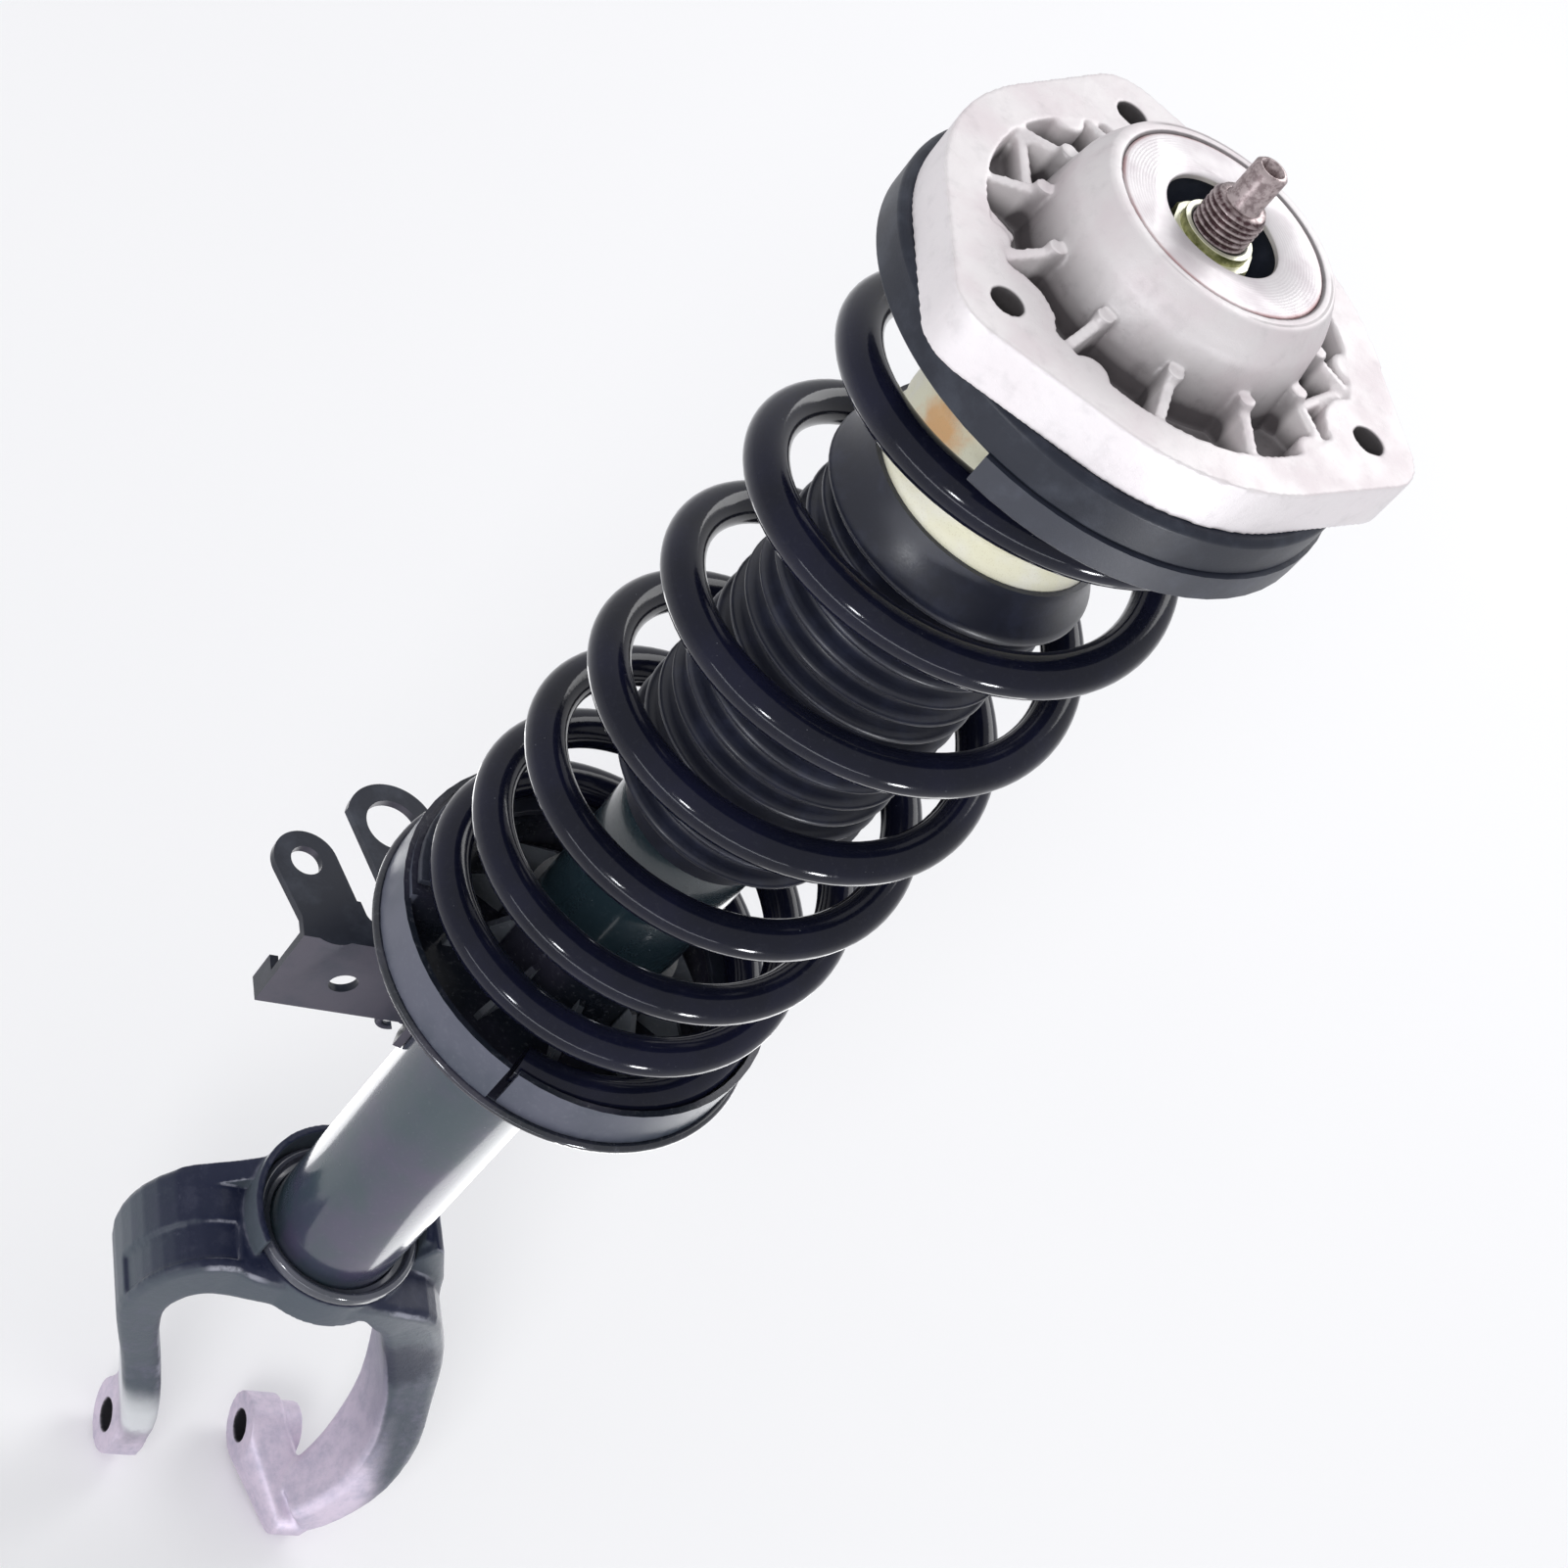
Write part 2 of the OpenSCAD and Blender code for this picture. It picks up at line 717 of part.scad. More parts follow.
module piston() {
    ports = 6;
    color("gray")
        difference() {
            rotate_extrude()
                polygon([
                    [rod_end_r + fit_gap, piston_low_z],
                    [bore_r - 0.6, piston_low_z],
                    [bore_r - 0.6, piston_low_z + 3],
                    [bore_r - 2, piston_low_z + 3],
                    [bore_r - 2, piston_top_z - 3],
                    [bore_r - 0.6, piston_top_z - 3],
                    [bore_r - 0.6, piston_top_z],
                    [rod_end_r + fit_gap, piston_top_z]]);
            for (i = [0 : ports - 1])
                rotate(360 * i / ports)
                    translate([(bore_r + 5) / 2, 0, piston_low_z - cut])
                        cylinder(d = 3, h = piston_h + 2 * cut, $fn = 24);
        }
}

module piston_band() {
    color("#5c4433")
        tube(bore_r - slide_gap, bore_r - 2 + fit_gap, piston_low_z + 3, piston_top_z - 3);
}

module lower_shims() {
    color("silver")
        for (i = [0 : 2])
            tube(bore_r - 2.5 - 2 * i, rod_end_r + fit_gap, piston_low_z - 0.6 * i - 0.6,
                piston_low_z - 0.6 * i);
}

module piston_nut() {
    color("silver")
        translate([0, 0, rod_low_z + 2])
            difference() {
                cylinder(r = 20 / sqrt(3), h = piston_low_z - rod_low_z - 3.8, $fn = 6);
                translate([0, 0, -cut])
                    cylinder(r = rod_end_r + slide_gap, h = 20);
            }
}

module damper_tube() {
    color("#2c2e33")
        tube(tube_r, tube_r - tube_wall, tube_low_z, tube_top_z - cap_t);
}

module bump_cap() {
    color("#222429")
        rotate_extrude()
            polygon([
                [rod_r + 1.5, tube_top_z - cap_t],
                [rod_r + 1.5, tube_top_z],
                [cap_r - 2, tube_top_z],
                [cap_r, tube_top_z - 2],
                [cap_r, tube_top_z - cap_h],
                [tube_r + fit_gap, tube_top_z - cap_h],
                [tube_r + fit_gap, tube_top_z - cap_t]]);
}

module rod_guide() {
    in_r = tube_r - tube_wall - fit_gap;
    color("darkgray")
        rotate_extrude()
            polygon([
                [rod_r + 2, guide_low_z],
                [bore_r - fit_gap, guide_low_z],
                [bore_r - fit_gap, guide_low_z + 6],
                [in_r, guide_low_z + 6],
                [in_r, guide_top_z],
                [rod_r + 6, guide_top_z],
                [rod_r + 6, guide_top_z - 5],
                [rod_r + 2, guide_top_z - 5]]);
}

module guide_bush() {
    color("#8a6d3b")
        tube(rod_r + 2 - fit_gap, rod_r + slide_gap, guide_low_z + 0.5, guide_top_z - 5.5);
}

module rod_seal() {
    color("#2b2b2b")
        tube(rod_r + 6 - fit_gap, rod_r + slide_gap, guide_top_z - 4.8, guide_top_z - 0.3);
}

module inner_cylinder() {
    color("lightgray")
        tube(bore_r + bore_wall, bore_r, valve_low_z + 5, guide_low_z + 6 - 0.2);
}

module base_valve() {
    ports = 6;
    color("gray")
        difference() {
            rotate_extrude()
                polygon([
                    [0, valve_low_z],
                    [bore_r + bore_wall, valve_low_z],
                    [bore_r + bore_wall, valve_low_z + 5],
                    [bore_r - fit_gap, valve_low_z + 5],
                    [bore_r - fit_gap, valve_low_z + valve_h],
                    [0, valve_low_z + valve_h]]);
            for (i = [0 : ports - 1])
                rotate(360 * i / ports)
                    translate([bore_r - 6, 0, valve_low_z - cut])
                        cylinder(d = 3, h = valve_h + 2 * cut, $fn = 24);
            for (i = [0 : 2])
                rotate(120 * i)
                    translate([bore_r - 3, -4, valve_low_z - cut])
                        cube([8, 8, 3 + cut]);
        }
}

module base_valve_disc() {
    color("silver")
        tube(bore_r - 3, 2, valve_low_z + valve_h, valve_low_z + valve_h + 0.8);
}

module tube_bottom_cap() {
    in_r = tube_r - tube_wall - fit_gap;
    color("#33353a")
        rotate_extrude()
            polygon([
                [0, tube_low_z],
                [in_r, tube_low_z],
                [in_r, tube_low_z + bottom_cap_h + 4],
                [in_r - 2, tube_low_z + bottom_cap_h + 4],
                [in_r - 4, tube_low_z + bottom_cap_h],
                [bore_r - 2, tube_low_z + bottom_cap_h],
                [bore_r - 3, tube_low_z + bottom_cap_h + 4],
                [bore_r - 6, tube_low_z + bottom_cap_h + 4],
                [bore_r - 8, tube_low_z + 3],
                [0, tube_low_z + 3]]);
}

// Height of the perch's ramp at an angle on from the lower tip
function ramp_z(a) = lower_wire_z(a) - wire_r - seat_gap - pad_t;

module perch_gusset() {
    rotate([90, 0, 0])
        linear_extrude(height = 2, center = true)
            polygon([
                [perch_collar_r + collar_t - 0.5, floor_z - 0.5],
                [pad_in_r + 1, floor_z - 0.5],
                [pad_in_r + 1, floor_z + 3],
                [perch_collar_r + collar_t + 3, floor_z + perch_collar_h - 5],
                [perch_collar_r + collar_t - 0.5, floor_z + perch_collar_h - 5]]);
}

module lower_perch() {
    bead_r = 1.7;
    wall_steps = 56;
    joggle = 1.2;
    color("#1b1d22") {
        tube(perch_in_r + 1, perch_collar_r, floor_z - plate_t, floor_z);
        tube(perch_collar_r + collar_t, perch_collar_r, floor_z - plate_t - 4,
            floor_z + perch_collar_h);
        rotate_extrude()
            translate([perch_out_r, floor_z - plate_t + bead_r - 0.6])
                circle(r = bead_r, $fn = 32);
        skin([for (i = [0 : wall_steps])
            let (
                a = 1 + 357 * i / wall_steps,
                out = perch_in_r + plate_t - joggle * (1 - i / wall_steps),
                high = floor_z + perch_wall + perch_climb * i / wall_steps,
                c = cos(low_turn + a),
                s = sin(low_turn + a))
            [[(out - plate_t + 0.3) * c, (out - plate_t + 0.3) * s, floor_z - plate_t],
             [out * c, out * s, floor_z - plate_t],
             [out * c, out * s, high],
             [(out - plate_t + 0.3) * c, (out - plate_t + 0.3) * s, high]]]);
        helix_ring(coil_r - 10, perch_in_r + 0.5, low_turn + 8, low_turn + pad_wrap,
            function(a) floor_z - 1,
            function(a) ramp_z(a), 36);
        for (i = [0 : gusset_count - 1])
            rotate(360 * i / gusset_count)
                perch_gusset();
    }
}

module lower_spring_pad() {
    color("#34373b")
        helix_ring(coil_r - 8, coil_out_r + seat_gap, low_turn + 10, low_turn + pad_wrap - 4,
            function(a) ramp_z(a) + seat_gap,
            function(a) ramp_z(a) + pad_t - seat_gap, 36);
}

module hose_bracket() {
    top = floor_z - bracket_drop;
    low = top - bracket_h;
    saddle_r = tube_r + seat_gap;
    saddle_mid = saddle_r + sheet_t / 2;
    plate_end = -sqrt(max(pow(saddle_mid, 2) - pow(bracket_y, 2), 16));
    slot_foot = [-47, 33];
    slot_far = [-62, 78];
    color("#202329") {
        difference() {
            union() {
                translate([bracket_left, bracket_y - sheet_t / 2, low])
                    cube([plate_end - bracket_left, sheet_t, bracket_h]);
                translate([bracket_left, bracket_y - sheet_t / 2, low])
                    cube([sheet_t, 6 + sheet_t, bracket_h * 0.35]);
                translate([plate_end - 8, bracket_y, low - 1])
                    rotate([90, 0, 0])
                        rotate_extrude(angle = 300)
                            translate([4, 0]) circle(r = 1.4, $fn = 24);
                rotate(98)
                    translate([0, 0, low + 0.6])
                        rotate_extrude(angle = 64)
                            translate([saddle_r, 0])
                                square([sheet_t, bracket_h - 6]);
            }
            for (hole = plate_holes)
                translate([hole[0], bracket_y + 4, low + hole[1]])
                    rotate([90, 0, 0])
                        cylinder(d = hole[2], h = 8);
        }
        difference() {
            translate([0, 0, top - sheet_t])
                linear_extrude(height = sheet_t)
                    union() {
                        translate([bracket_left, bracket_y - sheet_t / 2])
                            square([-20 - bracket_left, 17]);
                        limb(small_ear, small_ear_r, [-64, 28], 11);
                        limb(large_ear, large_ear_r, [-31, 30], 10.5);
                    }
            translate([0, 0, top - sheet_t - cut])
                linear_extrude(height = sheet_t + 2 * cut)
                    union() {
                        limb(slot_foot, ear_slot / 2, slot_far, ear_slot / 2 + 0.01);
                        translate(small_ear) circle(d = small_ear_hole);
                        translate(large_ear) circle(d = large_ear_hole);
                    }
        }
    }
}

module fork_collar_ring() {
    low = bolt_z + socket_top;
    color("#23252a")
        rotate_extrude()
            polygon([
                [tube_r + seat_gap, low],
                [ring_r, low],
                [ring_r + 0.6, low + 2],
                [ring_r, low + ring_h - 1.2],
                [ring_r - 1.4, low + ring_h],
                [ring_r - 2.8, low + ring_h - 1],
                [ring_r - 3.6, low + 1.8],
                [tube_r + seat_gap, low + 1.4]]);
}

// A ring round a stretch of a fork arm: a rectangle with rounded corners
function arm_ring(centre, along, thick, deep) = let (
    raw = [0, 1, 0] - along[1] * along,
    depth = raw / norm(raw),
    across = cross(along, depth),
    round = min(arm_round, thick * 0.8))
    [for (q = [0 : 3], k = [0 : 2])
        let (
            a = 90 * q + 45 * k,
            sx = (q == 0 || q == 3) ? 1 : -1,
            sy = (q < 2) ? 1 : -1)
        centre
            + (sx * (thick - round) + round * cos(a)) * across
            + (sy * (deep - round) + round * sin(a)) * depth];

// Value at a place between rows of a list, along a curve through the rows
function curve(rows, t) = let (
    i = min(floor(t), len(rows) - 2),
    f = t - i,
    a = rows[max(i - 1, 0)],
    b = rows[i],
    c = rows[i + 1],
    d = rows[min(i + 2, len(rows) - 1)])
    b + 0.5 * f * ((c - a) + f * ((2 * a - 5 * b + 4 * c - d)
        + f * (3 * (b - c) + d - a)));

module fork_arm(rows) {
    per_row = 3;
    count = (len(rows) - 1) * per_row;
    skin([for (i = [0 : count])
        let (
            t = i / per_row,
            row = curve(rows, t),
            after = curve(rows, min(t + 0.05, len(rows) - 1)),
            before = curve(rows, max(t - 0.05, 0)),
            way = [after[0] - before[0], after[1] - before[1], after[2] - before[2]])
        arm_ring([row[0], row[1], row[2]], way / norm(way), row[3], row[4])]);
}

// A block that sinks a panel into the outer side of an arm
module arm_panel(rows, span, sides, sunk) {
    steps = 10;
    skin([for (i = [0 : steps])
        let (
            t = span[0] + (span[1] - span[0]) * i / steps,
            row = curve(rows, t),
            after = curve(rows, t + 0.05),
            before = curve(rows, t - 0.05),
            way = [after[0] - before[0], after[1] - before[1], after[2] - before[2]],
            along = way / norm(way),
            raw = [0, 1, 0] - along[1] * along,
            depth = raw / norm(raw),
            out = cross(depth, along))
        [for (p = [[row[3] - sunk, sides[0]], [row[3] - sunk, sides[1]],
                [row[3] + 4, sides[1]], [row[3] + 4, sides[0]]])
            [row[0], row[1], row[2]] + p[0] * out + p[1] * depth]]);
}

module fork_foot(face, thick, r) {
    translate([face, -fork_offset, 0])
        rotate([0, 90, 0])
            cylinder(r = r, h = thick);
}

// The half wall that stands behind the tube, with its wing and its shoulder
module fork_cup() {
    helix_ring(tube_r + 2, cup_r + cup_t, -12, 205,
        function(a) socket_low + 2,
        function(a) socket_top + cup_h + cup_rise * sin(180 * (a + 12) / 217), 36);
    translate([0, 20.5, 0])
        rotate([90, 0, 0])
            linear_extrude(height = 8.5)
                polygon([
                    [-55, socket_top - 7], [-55, socket_top - 5], [-51, socket_top - 2],
                    [-38, socket_top + 4], [-31, socket_top + 8], [-24, socket_top + 13],
                    [-24, socket_top - 7]]);
    translate([0, 16, 0])
        rotate([90, 0, 0])
            linear_extrude(height = 27)
                polygon([
                    [28, socket_top - 13], [30, socket_top + 2], [35, socket_top + 12],
                    [38, socket_top + 10], [47, socket_top - 9], [52, socket_top - 24],
                    [45, socket_top - 32], [36, socket_top - 20]]);
}

module fork() {
    color("#3c3e44")
        translate([0, 0, bolt_z])
            difference() {
                union() {
                    translate([0, 0, socket_low])
                        cylinder(r = socket_r, h = socket_h);
                    fork_arm(left_arm);
                    fork_arm(right_arm);
                    fork_cup();
                    fork_foot(left_face - foot_t, foot_t, foot_r);
                    hull() {
                        fork_foot(right_face, foot_t, foot_r - 1);
                        translate([toe[0], toe[1], toe[2]])
                            rotate([0, 90, 0])
                                cylinder(r = toe_r, h = foot_t, $fn = 32);
                    }
                    fork_foot(right_face + foot_t - 0.5, boss_l + 0.5, foot_r - 3.5);
                }
                translate([0, 0, socket_low + socket_floor])
                    cylinder(r = tube_r + fit_gap, h = socket_h);
                translate([0, 0, socket_top])
                    cylinder(r = cup_r, h = cup_h + cup_rise + 2);
                arm_panel(left_arm, panel_span, [-17, -2], panel_depth);
                translate([left_face - foot_t - 10, -fork_offset, 0])
                    rotate([0, 90, 0])
                        cylinder(d = fork_bore, h = fork_gap + 2 * foot_t + boss_l + 20);
                translate([left_face, -fork_offset - 40, -30])
                    cube([fork_gap, 80, 66]);
            }
}

mount_casting();
hub_cover_plate();
mount_bushing();
bushing_sleeve();
upper_cup_washer();
lower_cup_washer();
top_nut();
piston_rod();
upper_spring_seat();
upper_spring_pad();
bump_stop_cup();
bump_stop();
dust_boot();
coil_spring();
rebound_stop();
upper_shims();
piston();
piston_band();
lower_shims();
piston_nut();
damper_tube();
bump_cap();
rod_guide();
guide_bush();
rod_seal();
inner_cylinder();
base_valve();
base_valve_disc();
tube_bottom_cap();
lower_perch();
lower_spring_pad();
hose_bracket();
fork_collar_ring();
fork();
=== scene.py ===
"""Finishes, formed pieces, light and camera for a front suspension strut.

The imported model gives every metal, rubber and foam solid of the strut and its one sliding
joint. This script forms the pieces that need rounder or finer shapes than the solids have
(spring, boot, bump stop, threaded rod, the two castings and the pressed parts), gives each
piece its finish, and sets the light and the camera.

Sizes are in millimetres in the classes and become metres in the meshes. The damper axis is
the Z axis, and the flange face of the top mount is at height 0.
"""

from __future__ import annotations

import json
import logging
import math
from dataclasses import dataclass, field
from enum import Enum
from typing import Callable, Iterable, Mapping, Sequence, Union

import bmesh
import bpy
from mathutils import Matrix, Vector
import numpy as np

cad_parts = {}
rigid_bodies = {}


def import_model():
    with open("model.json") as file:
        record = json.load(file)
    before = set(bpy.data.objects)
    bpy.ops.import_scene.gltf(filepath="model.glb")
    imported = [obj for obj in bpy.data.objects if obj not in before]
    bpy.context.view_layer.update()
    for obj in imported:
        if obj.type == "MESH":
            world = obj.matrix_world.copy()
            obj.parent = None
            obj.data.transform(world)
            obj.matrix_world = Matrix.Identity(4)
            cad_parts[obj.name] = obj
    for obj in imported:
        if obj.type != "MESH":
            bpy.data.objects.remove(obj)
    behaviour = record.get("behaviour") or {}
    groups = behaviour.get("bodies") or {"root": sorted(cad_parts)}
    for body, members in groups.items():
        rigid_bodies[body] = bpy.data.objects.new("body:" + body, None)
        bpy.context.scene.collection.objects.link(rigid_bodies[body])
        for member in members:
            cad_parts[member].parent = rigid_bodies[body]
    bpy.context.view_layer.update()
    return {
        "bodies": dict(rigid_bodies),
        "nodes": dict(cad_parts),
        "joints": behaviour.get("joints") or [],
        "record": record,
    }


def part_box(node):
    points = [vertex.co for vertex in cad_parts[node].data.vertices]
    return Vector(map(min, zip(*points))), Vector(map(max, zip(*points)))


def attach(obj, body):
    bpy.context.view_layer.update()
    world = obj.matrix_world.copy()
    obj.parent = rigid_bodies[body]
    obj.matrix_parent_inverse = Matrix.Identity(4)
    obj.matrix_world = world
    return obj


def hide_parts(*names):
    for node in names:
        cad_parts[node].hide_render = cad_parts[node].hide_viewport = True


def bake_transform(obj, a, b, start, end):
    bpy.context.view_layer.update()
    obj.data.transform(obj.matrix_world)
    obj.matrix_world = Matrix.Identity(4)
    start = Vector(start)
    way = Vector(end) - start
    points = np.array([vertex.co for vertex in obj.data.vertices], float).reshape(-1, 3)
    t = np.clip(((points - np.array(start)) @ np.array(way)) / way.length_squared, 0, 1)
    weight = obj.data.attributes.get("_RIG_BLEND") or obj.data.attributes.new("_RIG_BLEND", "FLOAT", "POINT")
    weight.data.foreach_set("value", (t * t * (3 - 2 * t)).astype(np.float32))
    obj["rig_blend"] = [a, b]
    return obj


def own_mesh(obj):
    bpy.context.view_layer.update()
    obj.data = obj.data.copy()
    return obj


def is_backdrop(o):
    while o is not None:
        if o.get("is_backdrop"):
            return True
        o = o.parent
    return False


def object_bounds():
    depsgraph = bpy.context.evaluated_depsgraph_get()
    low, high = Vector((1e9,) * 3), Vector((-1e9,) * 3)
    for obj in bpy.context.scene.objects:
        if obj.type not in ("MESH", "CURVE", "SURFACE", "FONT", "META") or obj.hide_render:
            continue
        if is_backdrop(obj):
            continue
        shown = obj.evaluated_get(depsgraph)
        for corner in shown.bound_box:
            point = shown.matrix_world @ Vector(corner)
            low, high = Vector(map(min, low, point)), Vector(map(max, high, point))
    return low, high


LOG = logging.getLogger("strut")
MM = 0.001
WELD_REACH = 0.0005
MERGE_REACH = 0.002
FLAT_FOLD_DEG = 0.4
SOFT_FOLD_DEG = 70.0

Band = tuple[float, float, float, float]
Colour = tuple[float, float, float]
Outline = Sequence[tuple[float, float]]
Span = tuple[float, float]
Triple = tuple[float, float, float]


class Body(Enum):
    """The two bodies that the damper's stroke moves apart."""

    UPPER = "upper"
    LOWER = "lower"


class Grain(Enum):
    """How coarse the skin of a casting is."""

    FINE = 2.2
    SAND = 0.9


class Shine(Enum):
    """What a lamp shows in: matt and glossy surfaces, or only one of them."""

    BOTH = "both"
    GLOSS = "gloss"
    MATT = "matt"


# ---- Shader maths ----


class Num:
    """A number in a shader, which Python's operators act on."""

    def __init__(self, recipe: "Recipe", socket: bpy.types.NodeSocket) -> None:
        """Wraps one output socket of a recipe's tree."""
        self.recipe = recipe
        self.socket = socket

    def maths(self, operation: str, *others: "Operand") -> "Num":
        """Adds a Math node.

        Args:
            operation: The node's operation.
            others: The second and third operands.

        Returns:
            The node's result.
        """
        values = {i: v for i, v in enumerate((self, *others))}
        return Num(self.recipe, self.recipe.add("ShaderNodeMath", {"operation": operation}, values).outputs[0])

    def __add__(self, other: "Operand") -> "Num":
        """Returns self + other."""
        return self.maths("ADD", other)

    def __mul__(self, other: "Operand") -> "Num":
        """Returns self * other."""
        return self.maths("MULTIPLY", other)

    def __sub__(self, other: "Operand") -> "Num":
        """Returns self - other."""
        return self.maths("SUBTRACT", other)

    def __rsub__(self, other: float) -> "Num":
        """Returns other - self."""
        return (self * -1.0) + other

    def __pow__(self, other: "Operand") -> "Num":
        """Returns self to a power."""
        return self.maths("POWER", other)

    __radd__, __rmul__ = __add__, __mul__

    def wave(self) -> "Num":
        """Returns the sine of self, in radians."""
        return self.maths("SINE")

    def most(self, other: "Operand") -> "Num":
        """Returns the larger of self and other."""
        return self.maths("MAXIMUM", other)

    def rise(self, low: float, high: float) -> "Num":
        """Steps smoothly from 0 at low to 1 at high.

        Args:
            low: The value at which the result is 0.
            high: The value at which the result is 1.

        Returns:
            The stepped value.
        """
        node = self.recipe.add(
            "ShaderNodeMapRange",
            {"interpolation_type": "SMOOTHSTEP", "clamp": True},
            {"Value": self, "From Min": low, "From Max": high},
        )
        return Num(self.recipe, node.outputs[0])

    def fall(self, low: float, high: float) -> "Num":
        """Returns a smooth step from 1 at low to 0 at high."""
        return 1.0 - self.rise(low, high)

    def band(self, start: float, full: float, fade: float, end: float) -> "Num":
        """Returns 1 from full to fade and 0 before start and after end."""
        return self.rise(start, full) * self.fall(fade, end)


Operand = Union[Num, float]
Value = Union[Num, float, Sequence[float], bpy.types.NodeSocket]


class Recipe:
    """Builds one material's nodes, all of them on Object coordinates in millimetres."""

    def __init__(self, name: str) -> None:
        """Starts an empty material.

        Args:
            name: The material's name.
        """
        self.material = bpy.data.materials.new(name)
        self.material.use_nodes = True
        self.tree = self.material.node_tree
        self.tree.nodes.clear()
        self._place: bpy.types.NodeSocket | None = None

    def add(
        self,
        kind: str,
        settings: Mapping[str, object] | None = None,
        values: Mapping[Union[str, int], Value] | None = None,
    ) -> bpy.types.Node:
        """Adds any node.

        Args:
            kind: The node's type name.
            settings: Properties, which are set before the sockets.
            values: Values or links, by the socket's name or number.

        Returns:
            The node.
        """
        node = self.tree.nodes.new(kind)
        for key, value in (settings or {}).items():
            setattr(node, key, value)
        for key, value in (values or {}).items():
            socket = node.inputs[key]
            source = value.socket if isinstance(value, Num) else value
            if isinstance(source, bpy.types.NodeSocket):
                self.tree.links.new(source, socket)
            elif socket.type == "RGBA" and len(source) == 3:
                socket.default_value = (*source, 1.0)
            else:
                socket.default_value = source
        return node

    def place(self) -> bpy.types.NodeSocket:
        """Reads the point on the piece, once for all patterns.

        Returns:
            The point, in millimetres.
        """
        if self._place is None:
            where = self.add("ShaderNodeTexCoord").outputs["Object"]
            self._place = self.add(
                "ShaderNodeVectorMath", {"operation": "SCALE"}, {0: where, "Scale": 1 / MM}
            ).outputs[0]
        return self._place

    def along(self, axis: int) -> Num:
        """Returns one coordinate of the point, in millimetres."""
        return Num(self, self.add("ShaderNodeSeparateXYZ", values={0: self.place()}).outputs[axis])

    def facing(self, axis: int) -> Num:
        """Returns one coordinate of the surface's own direction."""
        where = self.add("ShaderNodeTexCoord").outputs["Normal"]
        return Num(self, self.add("ShaderNodeSeparateXYZ", values={0: where}).outputs[axis])

    def radius(self) -> Num:
        """Returns the distance from the damper axis, in millimetres."""
        x, y = self.along(0), self.along(1)
        return (x * x + y * y) ** 0.5

    def reach(self, centre: Triple) -> Num:
        """Returns the distance from a point, in millimetres."""
        node = self.add("ShaderNodeVectorMath", {"operation": "DISTANCE"}, {0: self.place(), 1: centre})
        return Num(self, node.outputs["Value"])

    def noise(self, per_mm: float, detail: float = 3.0, rough: float = 0.55, stretch: Triple = (1, 1, 1)) -> Num:
        """Adds a cloudy pattern.

        Args:
            per_mm: Pattern cells per millimetre.
            detail: Layers of finer pattern.
            rough: Strength of each finer layer.
            stretch: Scale on each axis.

        Returns:
            The pattern, near 0.5.
        """
        where = self.add("ShaderNodeVectorMath", {"operation": "MULTIPLY"}, {0: self.place(), 1: stretch})
        node = self.add(
            "ShaderNodeTexNoise",
            {"noise_dimensions": "3D"},
            {"Vector": where.outputs[0], "Scale": per_mm, "Detail": detail, "Roughness": rough},
        )
        return Num(self, node.outputs[0])

    def cells(self, per_mm: float) -> Num:
        """Returns the distance from the middle of the nearest of so many cells per millimetre."""
        node = self.add("ShaderNodeTexVoronoi", {"feature": "F1"}, {"Vector": self.place(), "Scale": per_mm})
        return Num(self, node.outputs["Distance"])

    def specks(self, per_mm: float, size: Span, cover: Span, patch: float = 0.08) -> Num:
        """Adds specks of dust that lie in loose patches.

        Args:
            per_mm: Specks per millimetre.
            size: Distances from a speck's middle at which it starts to fade and is gone.
            cover: Values of the patches' pattern at which specks start and are all there.
            patch: Patches per millimetre.

        Returns:
            1 on a speck and 0 elsewhere.
        """
        return self.cells(per_mm).fall(*size) * self.noise(patch, 2.0).rise(*cover)

    def blend(self, share: Operand, first: Value, second: Value) -> bpy.types.NodeSocket:
        """Mixes two colours.

        Args:
            share: How much of the second colour there is.
            first: A colour.
            second: A colour.

        Returns:
            The mixed colour.
        """
        node = self.add(
            "ShaderNodeMix",
            {"data_type": "RGBA", "clamp_factor": True},
            {0: share, 6: first, 7: second},
        )
        return node.outputs[2]

    def relief(self, height: Num, depth_mm: float, strength: float) -> bpy.types.NodeSocket:
        """Turns a height into a bumped normal.

        Args:
            height: The height, from 0 to 1.
            depth_mm: How tall a height of 1 is.
            strength: The bump's strength.

        Returns:
            The normal.
        """
        values = {"Height": height, "Distance": depth_mm * MM, "Strength": strength}
        return self.add("ShaderNodeBump", values=values).outputs[0]

    def orange_peel(self, depth_mm: float) -> bpy.types.NodeSocket:
        """Returns the normal of sprayed enamel with soft waves of a depth."""
        return self.relief(self.noise(0.5, 2.0) + self.noise(1.9, 2.0) * 0.35, depth_mm, 0.5)

    def finish(self, values: Mapping[str, Value]) -> bpy.types.Material:
        """Ends the recipe in one Principled shader.

        Args:
            values: Values or links of the shader's sockets.

        Returns:
            The material.
        """
        shader = self.add("ShaderNodeBsdfPrincipled", values=values)
        self.add("ShaderNodeOutputMaterial", values={"Surface": shader.outputs[0]})
        return self.material


# ---- Finishes ----


